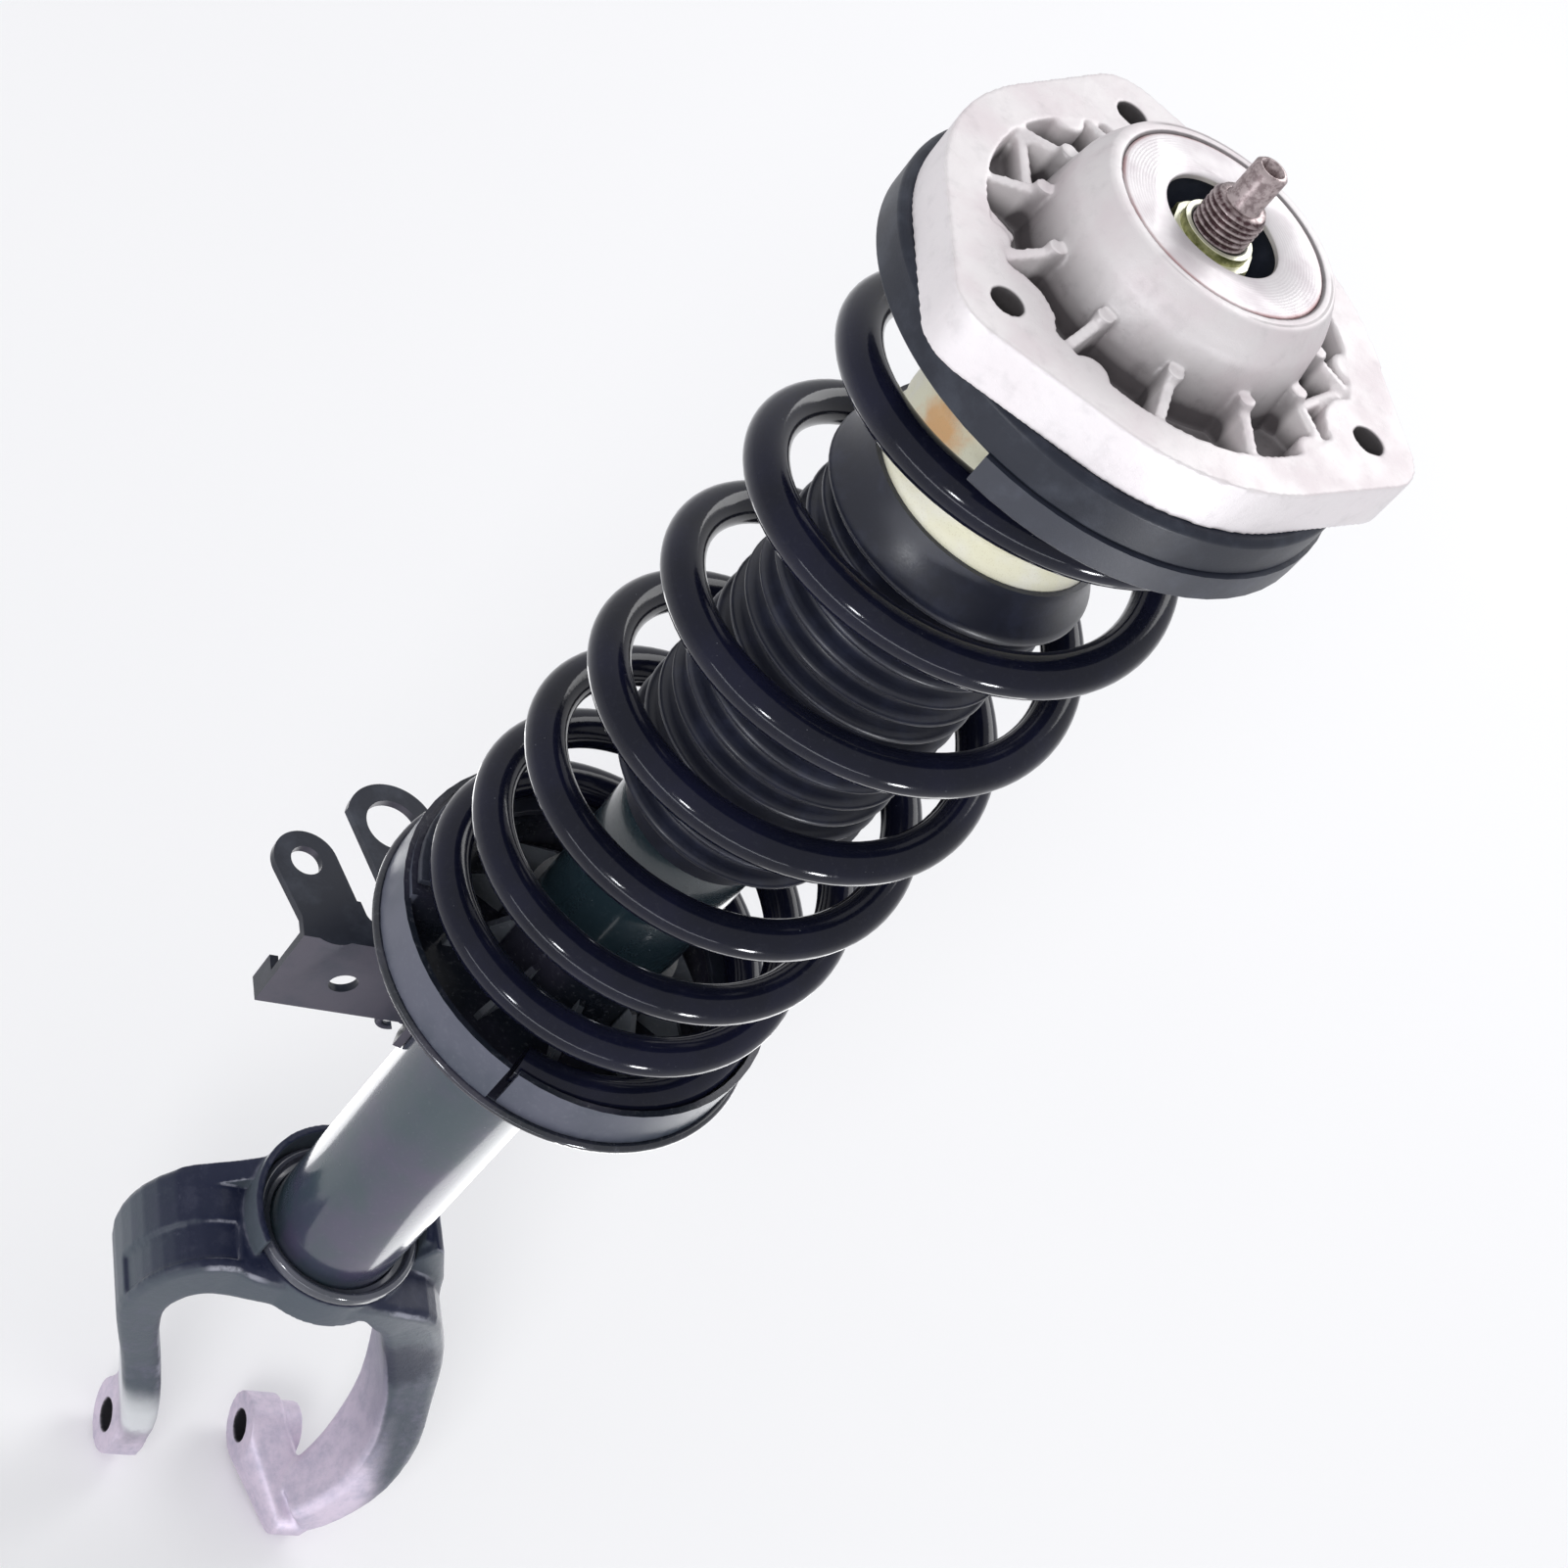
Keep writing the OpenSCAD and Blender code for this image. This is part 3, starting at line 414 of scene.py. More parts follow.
@dataclass(frozen=True)
class CastAluminium:
    """Bright as-cast aluminium with a fine skin, a faint blush and painted shade in the pockets, at the hub and on the
    side wall.
    """

    name: str = "cast_aluminium"
    bright: Colour = (0.81, 0.775, 0.78)
    blush: Colour = (0.75, 0.665, 0.69)
    # Dark colour for real stains, the groove line and the scratch ring, and for painted shade in the pockets and round
    # the hub's base.
    groove_stain_and_shade: Colour = (0.105, 0.095, 0.10)
    # Painted shade: the outer side wall is painted a little darker than the top.
    wall: Colour = (0.775, 0.74, 0.755)
    shadow: Colour = (0.030, 0.026, 0.028)
    grain: Grain = Grain.FINE
    groove_band: Band = (29.9, 30.4, 30.8, 31.4)
    scratch_band: Band = (32.5, 32.8, 33.2, 33.6)
    face_span: Span = (15.0, 19.0)
    # Heights and radii of the painted shade round the hub's base.
    hub_shade_span: Span = (-5.0, 14.0)
    hub_band: Band = (31.0, 34.0, 43.0, 46.0)
    # Radii and heights where the pockets take their painted shade.
    pocket_band: Band = (38.0, 42.0, 56.0, 59.0)
    pocket_floor: Span = (-8.6, -1.5)
    rim_span: Span = (60.0, 64.0)
    bolt_r: float = 64.0
    bolt_z: float = -9.0
    bolt_ways: tuple[float, ...] = (-35.0, 85.0, 205.0)
    bolt_reach: Span = (9.7, 10.5)

    def bores(self, r: Recipe) -> Num:
        """Marks the three bolt holes.

        Args:
            r: The recipe that reads the marks.

        Returns:
            1 inside a hole and 0 elsewhere.
        """
        inside: Num | None = None
        for way in self.bolt_ways:
            angle = math.radians(way)
            centre = (self.bolt_r * math.cos(angle), self.bolt_r * math.sin(angle), self.bolt_z)
            near = r.reach(centre).fall(*self.bolt_reach)
            inside = near if inside is None else inside.most(near)
        return inside

    def material(self) -> bpy.types.Material:
        """Builds the finish.

        Returns:
            The material.
        """
        r = Recipe(self.name)
        cloud = r.noise(0.045, 4.0).rise(0.40, 0.68)
        stain = r.noise(0.16, 5.0, 0.62).rise(0.50, 0.78)
        radius, height, side = r.radius(), r.along(2), r.facing(2)
        # Painted shade on the pocket floors.
        pocket = radius.band(*self.pocket_band) * height.fall(*self.pocket_floor)
        groove = radius.band(*self.groove_band)
        scratch = radius.band(*self.scratch_band) * r.noise(0.03, 2.0).rise(0.45, 0.60)
        groove = groove.most(scratch * 0.6) * height.rise(*self.face_span)
        # Painted shade: faces out at the rim that do not face up are painted a little darker.
        outer = side.fall(0.2, 0.7) * radius.rise(*self.rim_span)
        # Painted shade low on the hub's sides, darkest at its base between the ribs; upward faces are spared.
        hub_shade = radius.band(*self.hub_band) * side.fall(0.5, 0.9) * (0.15 + height.fall(*self.hub_shade_span) * 0.62)
        colour = r.blend(cloud * 0.6, self.bright, self.blush)
        colour = r.blend(outer * 0.8, colour, self.wall)
        # Painted shade in the pockets and round the hub, with real stains and the dark groove line.
        colour = r.blend(stain * 0.12 + pocket * 0.86 + groove * 0.80 + hub_shade, colour, self.groove_stain_and_shade)
        colour = r.blend(self.bores(r) * 0.92, colour, self.shadow)
        skin, swell, pits = r.noise(self.grain.value, 4.0, 0.6), r.noise(0.22, 2.0), r.cells(0.55).fall(0.02, 0.16)
        return r.finish({
            "Base Color": colour,
            "Metallic": 0.25,
            "Roughness": 0.42 + cloud * 0.10 + skin * 0.10,
            "Normal": r.relief(skin * 0.5 + swell * 1.6 - pits * 0.5, 0.16, 0.55),
        })


@dataclass(frozen=True)
class PressedPlate:
    """Pale satin plate with faint turning rings."""

    name: str = "pressed_plate"
    pale: Colour = (0.76, 0.73, 0.74)
    shade: Colour = (0.58, 0.52, 0.55)
    rust: Colour = (0.40, 0.20, 0.20)
    rim_span: Span = (29.0, 30.2)
    rings_pitch: float = 7.0

    def material(self) -> bpy.types.Material:
        """Builds the finish.

        Returns:
            The material.
        """
        r = Recipe(self.name)
        radius = r.radius()
        rings = (radius * self.rings_pitch).wave() * 0.5 + 0.5
        cloud = r.noise(0.08, 4.0).rise(0.35, 0.7)
        rim = radius.rise(*self.rim_span)
        colour = r.blend(cloud * 0.6 + rings * 0.12, self.pale, self.shade)
        return r.finish({
            "Base Color": r.blend(rim * (0.35 + cloud * 0.55), colour, self.rust),
            "Metallic": 0.35,
            "Roughness": 0.34 + cloud * 0.12,
            "Normal": r.relief(rings * 0.6 + r.noise(1.4, 3.0), 0.04, 0.5),
        })


@dataclass(frozen=True)
class YellowZinc:
    """Yellow passivated plating with its shifting green and straw tones."""

    name: str = "yellow_zinc"
    # cream is painted light on the nut's upward faces.
    cream: Colour = (0.93, 0.92, 0.76)
    straw: Colour = (0.66, 0.66, 0.34)
    green: Colour = (0.16, 0.18, 0.05)
    # Painted shade in the nut's bore round the stud.
    bore_shade: Colour = (0.02, 0.02, 0.015)
    bore_shade_span: Span = (8.4, 8.9)

    def material(self) -> bpy.types.Material:
        """Builds the finish.

        Returns:
            The material.
        """
        r = Recipe(self.name)
        drift = r.noise(0.22, 4.0, 0.6).rise(0.36, 0.66)
        fine = r.noise(2.4, 3.0)
        upward = r.facing(2).rise(0.45, 0.85)
        colour = r.blend(drift, self.straw, self.green)
        # Painted light: faces turned upwards are painted pale cream.
        colour = r.blend(upward * 0.9, colour, self.cream)
        return r.finish({
            # Painted shade: the nut's bore round the stud is painted near black.
            "Base Color": r.blend(r.radius().fall(*self.bore_shade_span), colour, self.bore_shade),
            "Metallic": 0.60,
            "Roughness": 0.26 + fine * 0.20,
            "Normal": r.relief(fine, 0.03, 0.4),
        })


@dataclass(frozen=True)
class Steel:
    """Plain steel with a film of oil and faint machining marks."""

    name: str = "bare_steel"
    clean: Colour = (0.56, 0.53, 0.52)
    oily: Colour = (0.30, 0.25, 0.24)
    rough: float = 0.30

    def material(self) -> bpy.types.Material:
        """Builds the finish.

        Returns:
            The material.
        """
        r = Recipe(self.name)
        film = r.noise(0.12, 5.0, 0.6).rise(0.38, 0.70)
        marks = r.noise(3.0, 2.0, 0.5, (0.25, 0.25, 3.0))
        return r.finish({
            "Base Color": r.blend(film * 0.7, self.clean, self.oily),
            "Metallic": 0.92,
            "Roughness": self.rough + film * 0.14,
            "Normal": r.relief(marks, 0.03, 0.4),
        })


@dataclass(frozen=True)
class GroundRod:
    """Hard chrome on the rod, and a rolled thread above its shoulder with a painted brown-grey reflection and painted
    shade in its roots.
    """

    name: str = "ground_rod"
    chrome: Colour = (0.68, 0.68, 0.69)
    # Painted reflection: the thread's pinkish brown-grey.
    thread: Colour = (0.50, 0.42, 0.42)
    # Painted shade in the thread's roots, also the colour of the oil film.
    root: Colour = (0.075, 0.040, 0.045)
    shoulder_span: Span = (-10.5, -9.5)
    spigot_span: Span = (28.9, 29.7)
    root_span: Span = (7.1, 8.0)

    def material(self) -> bpy.types.Material:
        """Builds the finish.

        Returns:
            The material.
        """
        r = Recipe(self.name)
        height, radius = r.along(2), r.radius()
        threaded = height.rise(*self.shoulder_span)
        on_screw = threaded * height.fall(*self.spigot_span)
        # Painted shade in the thread's roots.
        root_shade = radius.fall(*self.root_span) * on_screw
        film = r.noise(0.55, 4.0, 0.65).rise(0.40, 0.64)
        # The thread takes its painted brown-grey reflection.
        colour = r.blend(threaded, self.chrome, self.thread)
        colour = r.blend(root_shade * 0.85 + film * threaded * 0.55, colour, self.root)
        return r.finish({
            "Base Color": colour,
            "Metallic": 0.88,
            "Roughness": 0.10 + threaded * 0.24 + film * 0.06,
            "Normal": r.relief(r.noise(3.2, 3.0), 0.03, 0.35),
        })


@dataclass(frozen=True)
class Enamel:
    """Glossy black enamel with orange peel, settled dust and a cool cast."""

    name: str
    base: Colour
    cast: Colour
    gloss: float
    dust: float
    peel: float = 0.05
    shine: float = 0.5
    coat: float = 0.35
    dusted: Colour = (0.34, 0.36, 0.40)

    def tone(self, r: Recipe) -> bpy.types.NodeSocket:
        """Returns the enamel's colour before any dust."""
        return r.blend(r.noise(0.03, 3.0).rise(0.35, 0.70), self.base, self.cast)

    def material(self) -> bpy.types.Material:
        """Builds the finish.

        Returns:
            The material.
        """
        r = Recipe(self.name)
        specks = r.specks(0.30, (0.02, 0.055), (0.50, 0.62))
        haze = r.noise(0.55, 5.0, 0.65).rise(0.52, 0.80)
        return r.finish({
            "Base Color": r.blend(specks * 0.55 + haze * self.dust, self.tone(r), self.dusted),
            "Roughness": self.gloss + haze * 0.10 + specks * 0.3,
            "Specular IOR Level": self.shine,
            "Coat Weight": self.coat,
            "Coat Roughness": 0.06,
            "Normal": r.orange_peel(self.peel),
        })


@dataclass(frozen=True)
class TubeEnamel(Enamel):
    """The tube's enamel, painted lighter grey-teal below the perch as painted light and dark teal above it as painted
    shade in the spring.
    """

    # Painted shade on the tube inside the spring, above the perch.
    spring_shade: Colour = (0.015, 0.029, 0.038)
    spring_shade_span: Span = (-332.0, -310.0)

    def tone(self, r: Recipe) -> bpy.types.NodeSocket:
        """Returns the enamel's colour before any dust."""
        # Painted shade above the perch, inside the spring.
        return r.blend(r.along(2).rise(*self.spring_shade_span), super().tone(r), self.spring_shade)


@dataclass(frozen=True)
class PerchEnamel:
    """The perch's enamel: black on the floor, a grey-blue painted reflection on the wall, a painted highlight on the
    gussets, dust specks.
    """

    name: str = "perch_enamel"
    black: Colour = (0.010, 0.013, 0.020)
    cast: Colour = (0.026, 0.026, 0.042)
    # Painted reflection on the wall, lighter on its left.
    wall: Colour = (0.105, 0.112, 0.150)
    # The wall's painted reflection turns darker teal on its right.
    teal: Colour = (0.018, 0.036, 0.050)
    # Painted highlight on the gussets.
    gusset_highlight: Colour = (0.20, 0.22, 0.25)
    dusted: Colour = (0.40, 0.42, 0.46)
    wall_span: Span = (61.5, 63.0)
    bead_span: Span = (66.2, 66.6)
    gusset_band: Band = (27.5, 28.5, 44.0, 46.0)
    teal_span: Span = (-15.0, 40.0)

    def material(self) -> bpy.types.Material:
        """Builds the finish.

        Returns:
            The material.
        """
        r = Recipe(self.name)
        radius, upward = r.radius(), r.facing(2).rise(0.4, 0.8)
        drift = r.noise(0.03, 3.0).rise(0.38, 0.62)
        haze = r.noise(0.5, 5.0, 0.65).rise(0.50, 0.80)
        specks = r.specks(0.30, (0.02, 0.06), (0.48, 0.60))
        on_bead = radius.rise(*self.bead_span)
        on_wall = radius.rise(*self.wall_span) * (1.0 - upward) * (1.0 - on_bead)
        on_gusset = radius.band(*self.gusset_band) * (1.0 - upward)
        # Painted reflection on the wall: grey-blue on the left, darker teal on the right.
        wall = r.blend(r.along(0).rise(*self.teal_span) * 0.7 + drift * 0.3, self.wall, self.teal)
        colour = r.blend(on_wall, r.blend(drift, self.black, self.cast), wall)
        # Painted highlight on the gussets.
        colour = r.blend(on_gusset * 0.8, colour, self.gusset_highlight)
        return r.finish({
            "Base Color": r.blend(specks * 0.5 + haze * 0.10, colour, self.dusted),
            "Roughness": 0.22 + haze * 0.12 + on_wall * 0.14 - on_bead * 0.10,
            "Specular IOR Level": 0.28,
            "Coat Weight": on_bead * 0.6,
            "Coat Roughness": 0.08,
            "Normal": r.orange_peel(0.05),
        })


@dataclass(frozen=True)
class SatinBlack:
    """Satin black electrocoat over pressed steel."""

    name: str = "satin_black"
    base: Colour = (0.012, 0.015, 0.026)
    worn: Colour = (0.050, 0.058, 0.080)
    # Painted light: faces turned towards -Y take this colour; it is the base colour unless set.
    lit_front: Colour = (0.012, 0.015, 0.026)

    def material(self) -> bpy.types.Material:
        """Builds the finish.

        Returns:
            The material.
        """
        r = Recipe(self.name)
        cloud = r.noise(0.07, 5.0, 0.6).rise(0.42, 0.74)
        fine = r.noise(1.7, 4.0)
        specks = r.specks(0.36, (0.03, 0.07), (0.5, 0.6), 0.1)
        # Painted light: faces turned towards -Y take the lighter colour.
        tone = r.blend(r.facing(1).fall(-0.85, -0.45), self.base, self.lit_front)
        return r.finish({
            "Base Color": r.blend(cloud * 0.6 + specks * 0.5, tone, self.worn),
            "Specular IOR Level": 0.3,
            "Roughness": 0.34 + fine * 0.16,
            "Normal": r.relief(fine, 0.05, 0.5),
        })


@dataclass(frozen=True)
class Rubber:
    """Moulded black rubber with a fine grain and a pale bloom."""

    name: str
    base: Colour
    bloom: Colour
    rough: float
    grain: float = 0.08
    bloom_share: float = 0.35

    def material(self) -> bpy.types.Material:
        """Builds the finish.

        Returns:
            The material.
        """
        r = Recipe(self.name)
        cloud = r.noise(0.09, 5.0, 0.62).rise(0.44, 0.76)
        fine = r.noise(1.3, 4.0, 0.6)
        return r.finish({
            "Base Color": r.blend(cloud * self.bloom_share, self.base, self.bloom),
            "Roughness": self.rough + fine * 0.14,
            "Sheen Weight": 0.08,
            "Sheen Roughness": 0.4,
            "Normal": r.relief(fine + r.noise(0.3, 2.0) * 0.5, self.grain, 0.5),
        })


@dataclass(frozen=True)
class Foam:
    """Pale yellow cellular polyurethane, warmed to orange in one place near the seat."""

    name: str = "foam_polyurethane"
    cream: Colour = (0.97, 0.95, 0.74)
    pale: Colour = (0.98, 0.97, 0.86)
    amber: Colour = (0.90, 0.50, 0.20)
    # Painted shade in the foam's pores.
    pore_shade: Colour = (0.55, 0.46, 0.24)
    amber_centre: Triple = (-31.5, -8.0, -60.5)
    amber_span: Span = (8.5, 17.0)

    def material(self) -> bpy.types.Material:
        """Builds the finish.

        Returns:
            The material.
        """
        r = Recipe(self.name)
        cloud = r.noise(0.07, 4.0).rise(0.36, 0.68)
        away = r.reach(self.amber_centre) + r.noise(0.2, 3.0) * 9.0
        warm = away.fall(*self.amber_span)
        pores = r.cells(1.6).rise(0.05, 0.34)
        colour = r.blend(warm * 0.9, r.blend(cloud, self.cream, self.pale), self.amber)
        return r.finish({
            # Painted shade darkens the middle of each of the pores.
            "Base Color": r.blend((1.0 - pores) * 0.25, colour, self.pore_shade),
            "Roughness": 0.62 + cloud * 0.10,
            "Normal": r.relief(pores + r.noise(0.5, 3.0), 0.09, 0.5),
        })


@dataclass(frozen=True)
class ForkCasting:
    """Black paint over a rough casting, rubbed through to bare aluminium towards the feet."""

    name: str = "fork_casting"
    paint: Colour = (0.012, 0.016, 0.040)
    # Painted light: faces that do not face up are painted lighter grey-teal than the paint.
    side: Colour = (0.080, 0.098, 0.120)
    rubbed: Colour = (0.110, 0.114, 0.160)
    # Painted highlight lines on sloping faces round the top panel.
    edge: Colour = (0.36, 0.37, 0.44)
    bare: Colour = (0.66, 0.58, 0.69)
    tarnish: Colour = (0.38, 0.37, 0.48)
    dim: Colour = (0.20, 0.20, 0.26)
    # Painted highlight: a near-white band above the left foot.
    neck_highlight: Colour = (0.78, 0.80, 0.82)
    # Painted shade in the bolt bore.
    hole: Colour = (0.015, 0.014, 0.018)
    bare_span: Span = (-648.0, -606.0)
    right_lift: float = 22.0
    inner_lift: float = 44.0
    outer_drop: float = 30.0
    left_drop: float = 8.0
    outer_span: Span = (56.0, 72.0)
    rub_span: Span = (-590.0, -520.0)
    fade_span: Span = (-630.0, -562.0)
    neck_highlight_band: Band = (-633.0, -626.0, -618.0, -600.0)
    highlight_band: Band = (-50.0, -46.0, 30.0, 48.0)
    bend_span: Span = (9.0, 22.0)
    bolt_y: float = -11.0
    bolt_z: float = -648.5
    hole_span: Span = (6.2, 7.0)
    right_span: Span = (-6.0, 20.0)
    left_span: Span = (-26.0, -14.0)
    socket_span: Span = (34.0, 38.0)
    bend_centre: Triple = (46.0, -27.0, -556.0)
    grain: Grain = Grain.SAND

    def material(self) -> bpy.types.Material:
        """Builds the finish.

        Returns:
            The material.
        """
        r = Recipe(self.name)
        lumps = r.noise(self.grain.value * 0.35, 5.0, 0.66)
        skin = r.noise(self.grain.value * 2.2, 4.0, 0.62)
        drift, scuff = r.noise(0.05, 4.0), r.noise(0.11, 6.0, 0.7)
        across, up, tilt = r.along(0), r.along(2), r.facing(2)
        leftward = r.facing(0).fall(-0.80, -0.30)
        on_right = across.rise(*self.right_span)
        outward = across.rise(*self.outer_span)
        lift = on_right * (leftward * self.inner_lift + self.right_lift) - outward * self.outer_drop
        lift = lift - (1.0 - on_right) * (1.0 - leftward) * self.left_drop
        bare = (up - lift + (drift - 0.5) * 30.0 + (lumps - 0.5) * 9.0).fall(*self.bare_span)
        # Painted light: upward faces keep the dark paint, the others take the lighter side colour.
        upward = (tilt + (scuff - 0.5) * 0.6).rise(-0.1, 0.85)
        rub = scuff.rise(0.46, 0.70) * (0.15 + up.fall(*self.rub_span) * 0.75) + lumps.rise(0.60, 0.76) * 0.25
        bend = (r.reach(self.bend_centre) + (scuff - 0.5) * 22.0).fall(*self.bend_span)
        # Painted highlight: light lines on faces that slope between up and sideways.
        corner = tilt.band(0.22, 0.42, 0.66, 0.86) * scuff.rise(0.36, 0.56)
        corner = corner * across.band(*self.highlight_band) * r.radius().rise(*self.socket_span)
        colour = r.blend(rub, r.blend(upward, self.side, self.paint), self.rubbed)
        colour = r.blend(corner * 0.7, colour, self.edge)
        colour = r.blend(bend * 0.85, colour, self.paint)
        metal = r.blend(scuff.rise(0.40, 0.68) * 0.45 + lumps.rise(0.46, 0.72) * 0.25, self.bare, self.tarnish)
        fade = (up + scuff * 16.0).rise(*self.fade_span) * 0.85 + outward * 0.5
        metal = r.blend(fade * on_right, metal, self.dim)
        # Painted highlight round the left arm just above the foot.
        collar = (up + lumps * 6.0).rise(*self.neck_highlight_band[:2]) * (up + drift * 8.0).fall(*self.neck_highlight_band[2:])
        collar = collar * across.fall(*self.left_span)
        colour = r.blend(collar * 0.8, r.blend(bare, colour, metal), self.neck_highlight)
        ahead, above = r.along(1) - self.bolt_y, up - self.bolt_z
        # Painted shade: the bolt bore through the feet is painted near black.
        bore = ((ahead * ahead + above * above) ** 0.5).fall(*self.hole_span)
        return r.finish({
            "Base Color": r.blend(bore, colour, self.hole),
            "Metallic": bare * 0.30 * (1.0 - bore),
            "Roughness": 0.32 + skin * 0.20 + bare * 0.12,
            "Specular IOR Level": 0.25,
            "Normal": r.relief(lumps * (1.2 - bare * 0.6) + skin * 0.40, 0.26, 0.6),
        })


@dataclass(frozen=True)
class Machined:
    """Turned metal or a filled bearing strip inside the damper."""

    name: str
    base: Colour
    shade: Colour
    metal: float
    rough: float

    def material(self) -> bpy.types.Material:
        """Builds the finish.

        Returns:
            The material.
        """
        r = Recipe(self.name)
        rings = r.noise(1.2, 3.0, 0.5, (0.3, 0.3, 4.0))
        return r.finish({
            "Base Color": r.blend(r.noise(0.2, 4.0).rise(0.35, 0.7), self.base, self.shade),
            "Metallic": self.metal,
            "Roughness": self.rough + rings * 0.12,
            "Normal": r.relief(rings, 0.03, 0.4),
        })


@dataclass(frozen=True)
class PaleFloor:
    """A plain pale studio floor."""

    name: str = "pale_floor"
    white: Colour = (0.93, 0.93, 0.935)
    shade: Colour = (0.915, 0.915, 0.925)

    def material(self) -> bpy.types.Material:
        """Builds the finish.

        Returns:
            The material.
        """
        r = Recipe(self.name)
        return r.finish({
            "Base Color": r.blend(r.noise(0.004, 2.0).rise(0.3, 0.7) * 0.3, self.white, self.shade),
            "Roughness": 0.85,
            "Specular IOR Level": 0.1,
        })


class Finishes:
    """Every finish on the strut, built once."""

    def __init__(self) -> None:
        """Builds the materials."""
        self.casting = CastAluminium().material()
        self.plate = PressedPlate().material()
        self.zinc = YellowZinc().material()
        self.steel = Steel().material()
        self.rod = GroundRod().material()
        self.perch = PerchEnamel().material()
        self.enamel = Enamel(
            "black_enamel", (0.010, 0.015, 0.018), (0.030, 0.028, 0.042), gloss=0.17, dust=0.06, coat=0.2
        ).material()
        # The ring's base is painted lighter than the black enamel, as painted light for its highlight lines.
        self.ring = Enamel(
            "ring_enamel", (0.040, 0.046, 0.060), (0.075, 0.078, 0.105), gloss=0.14, dust=0.10, coat=0.5
        ).material()
        # The tube's base is painted lighter grey-teal than the black enamel, as painted light.
        self.tube = TubeEnamel(
            "tube_enamel", (0.040, 0.064, 0.080), (0.066, 0.058, 0.106), gloss=0.16, dust=0.04
        ).material()
        self.spring = Enamel(
            "spring_coat", (0.005, 0.006, 0.014), (0.008, 0.009, 0.024), gloss=0.11, dust=0.02, peel=0.03,
            shine=0.20, coat=0.06,
        ).material()
        self.satin = SatinBlack().material()
        # The bracket's faces turned towards -Y are painted lighter, as painted light.
        self.bracket = SatinBlack("bracket_coat", lit_front=(0.090, 0.084, 0.110)).material()
        self.pad = Rubber("black_rubber", (0.018, 0.022, 0.037), (0.078, 0.090, 0.130), 0.42).material()
        self.boot = Rubber("boot_rubber", (0.010, 0.012, 0.024), (0.028, 0.033, 0.064), 0.30, 0.05, 0.6).material()
        self.foam = Foam().material()
        self.fork = ForkCasting().material()
        self.turned = Machined("machined_aluminium", (0.60, 0.60, 0.61), (0.42, 0.42, 0.43), 0.9, 0.28).material()
        self.band = Machined("band_plastic", (0.17, 0.10, 0.07), (0.09, 0.05, 0.03), 0.0, 0.45).material()
        self.bronze = Machined("bush_bronze", (0.50, 0.36, 0.16), (0.30, 0.20, 0.09), 0.85, 0.35).material()


# ---- Forming meshes ----


class Workpiece:
    """A mesh being formed on the strut's own axes, in metres."""

    def __init__(self, name: str) -> None:
        """Starts an empty mesh."""
        self.name = name
        self.bm = bmesh.new()

    def turn(self, outline: Outline, steps: int = 96, closed: bool = True, ease: float = 0.0) -> "Workpiece":
        """Turns an outline round the damper axis.

        Args:
            outline: Points of radius and height, in millimetres.
            steps: Divisions of the full turn.
            closed: Whether the outline's end joins its start; if not, both lie on the axis.
            ease: Radius that the outline's corners are rounded to, in millimetres.

        Returns:
            The workpiece.
        """
        verts = [self.bm.verts.new((r * MM, 0.0, z * MM)) for r, z in outline]
        pairs = list(zip(verts, verts[1:]))
        if closed:
            pairs.append((verts[-1], verts[0]))
        edges = [self.bm.edges.new(pair) for pair in pairs]
        if ease:
            corners = verts if closed else verts[1:-1]
            bmesh.ops.bevel(
                self.bm, geom=corners, offset=ease * MM, offset_type="OFFSET", segments=3, profile=0.5,
                affect="VERTICES", clamp_overlap=True, material=-1,
            )
            verts, edges = self.bm.verts[:], self.bm.edges[:]
        bmesh.ops.spin(
            self.bm, geom=[*verts, *edges], cent=(0, 0, 0), axis=(0, 0, 1), dvec=(0, 0, 0),
            angle=math.tau, steps=steps, use_merge=True,
        )
        return self

    def weld(self) -> "Workpiece":
        """Merges doubled points and turns the faces outwards.

        Returns:
            The workpiece.
        """
        bmesh.ops.remove_doubles(self.bm, verts=self.bm.verts[:], dist=WELD_REACH * MM)
        bmesh.ops.dissolve_degenerate(self.bm, edges=self.bm.edges[:], dist=WELD_REACH * MM)
        bmesh.ops.recalc_face_normals(self.bm, faces=self.bm.faces[:])
        return self

    def shift(self, move: Callable[[Vector], Vector]) -> "Workpiece":
        """Moves every point.

        Args:
            move: Turns a point's place into its new one, both in millimetres.

        Returns:
            The workpiece.
        """
        for vert in self.bm.verts:
            vert.co = move(vert.co / MM) * MM
        return self

    def done(self, sharp_deg: float = 38.0) -> bpy.types.Object:
        """Makes the object.

        Args:
            sharp_deg: Folds steeper than this stay sharp; the rest is smooth.

        Returns:
            The object, at the origin.
        """
        limit = math.radians(sharp_deg)
        for face in self.bm.faces:
            face.smooth = True
        for edge in self.bm.edges:
            edge.smooth = len(edge.link_faces) == 2 and edge.calc_face_angle(0.0) < limit
        mesh = bpy.data.meshes.new(self.name)
        self.bm.to_mesh(mesh)
        self.bm.free()
        piece = bpy.data.objects.new(self.name, mesh)
        bpy.context.scene.collection.objects.link(piece)
        return piece


def placed(steps: Outline, radius: float, height: float) -> list[tuple[float, float]]:
    """Returns the points that lie some steps out and up from a radius and a height."""
    return [(radius + out, height + up) for out, up in steps]


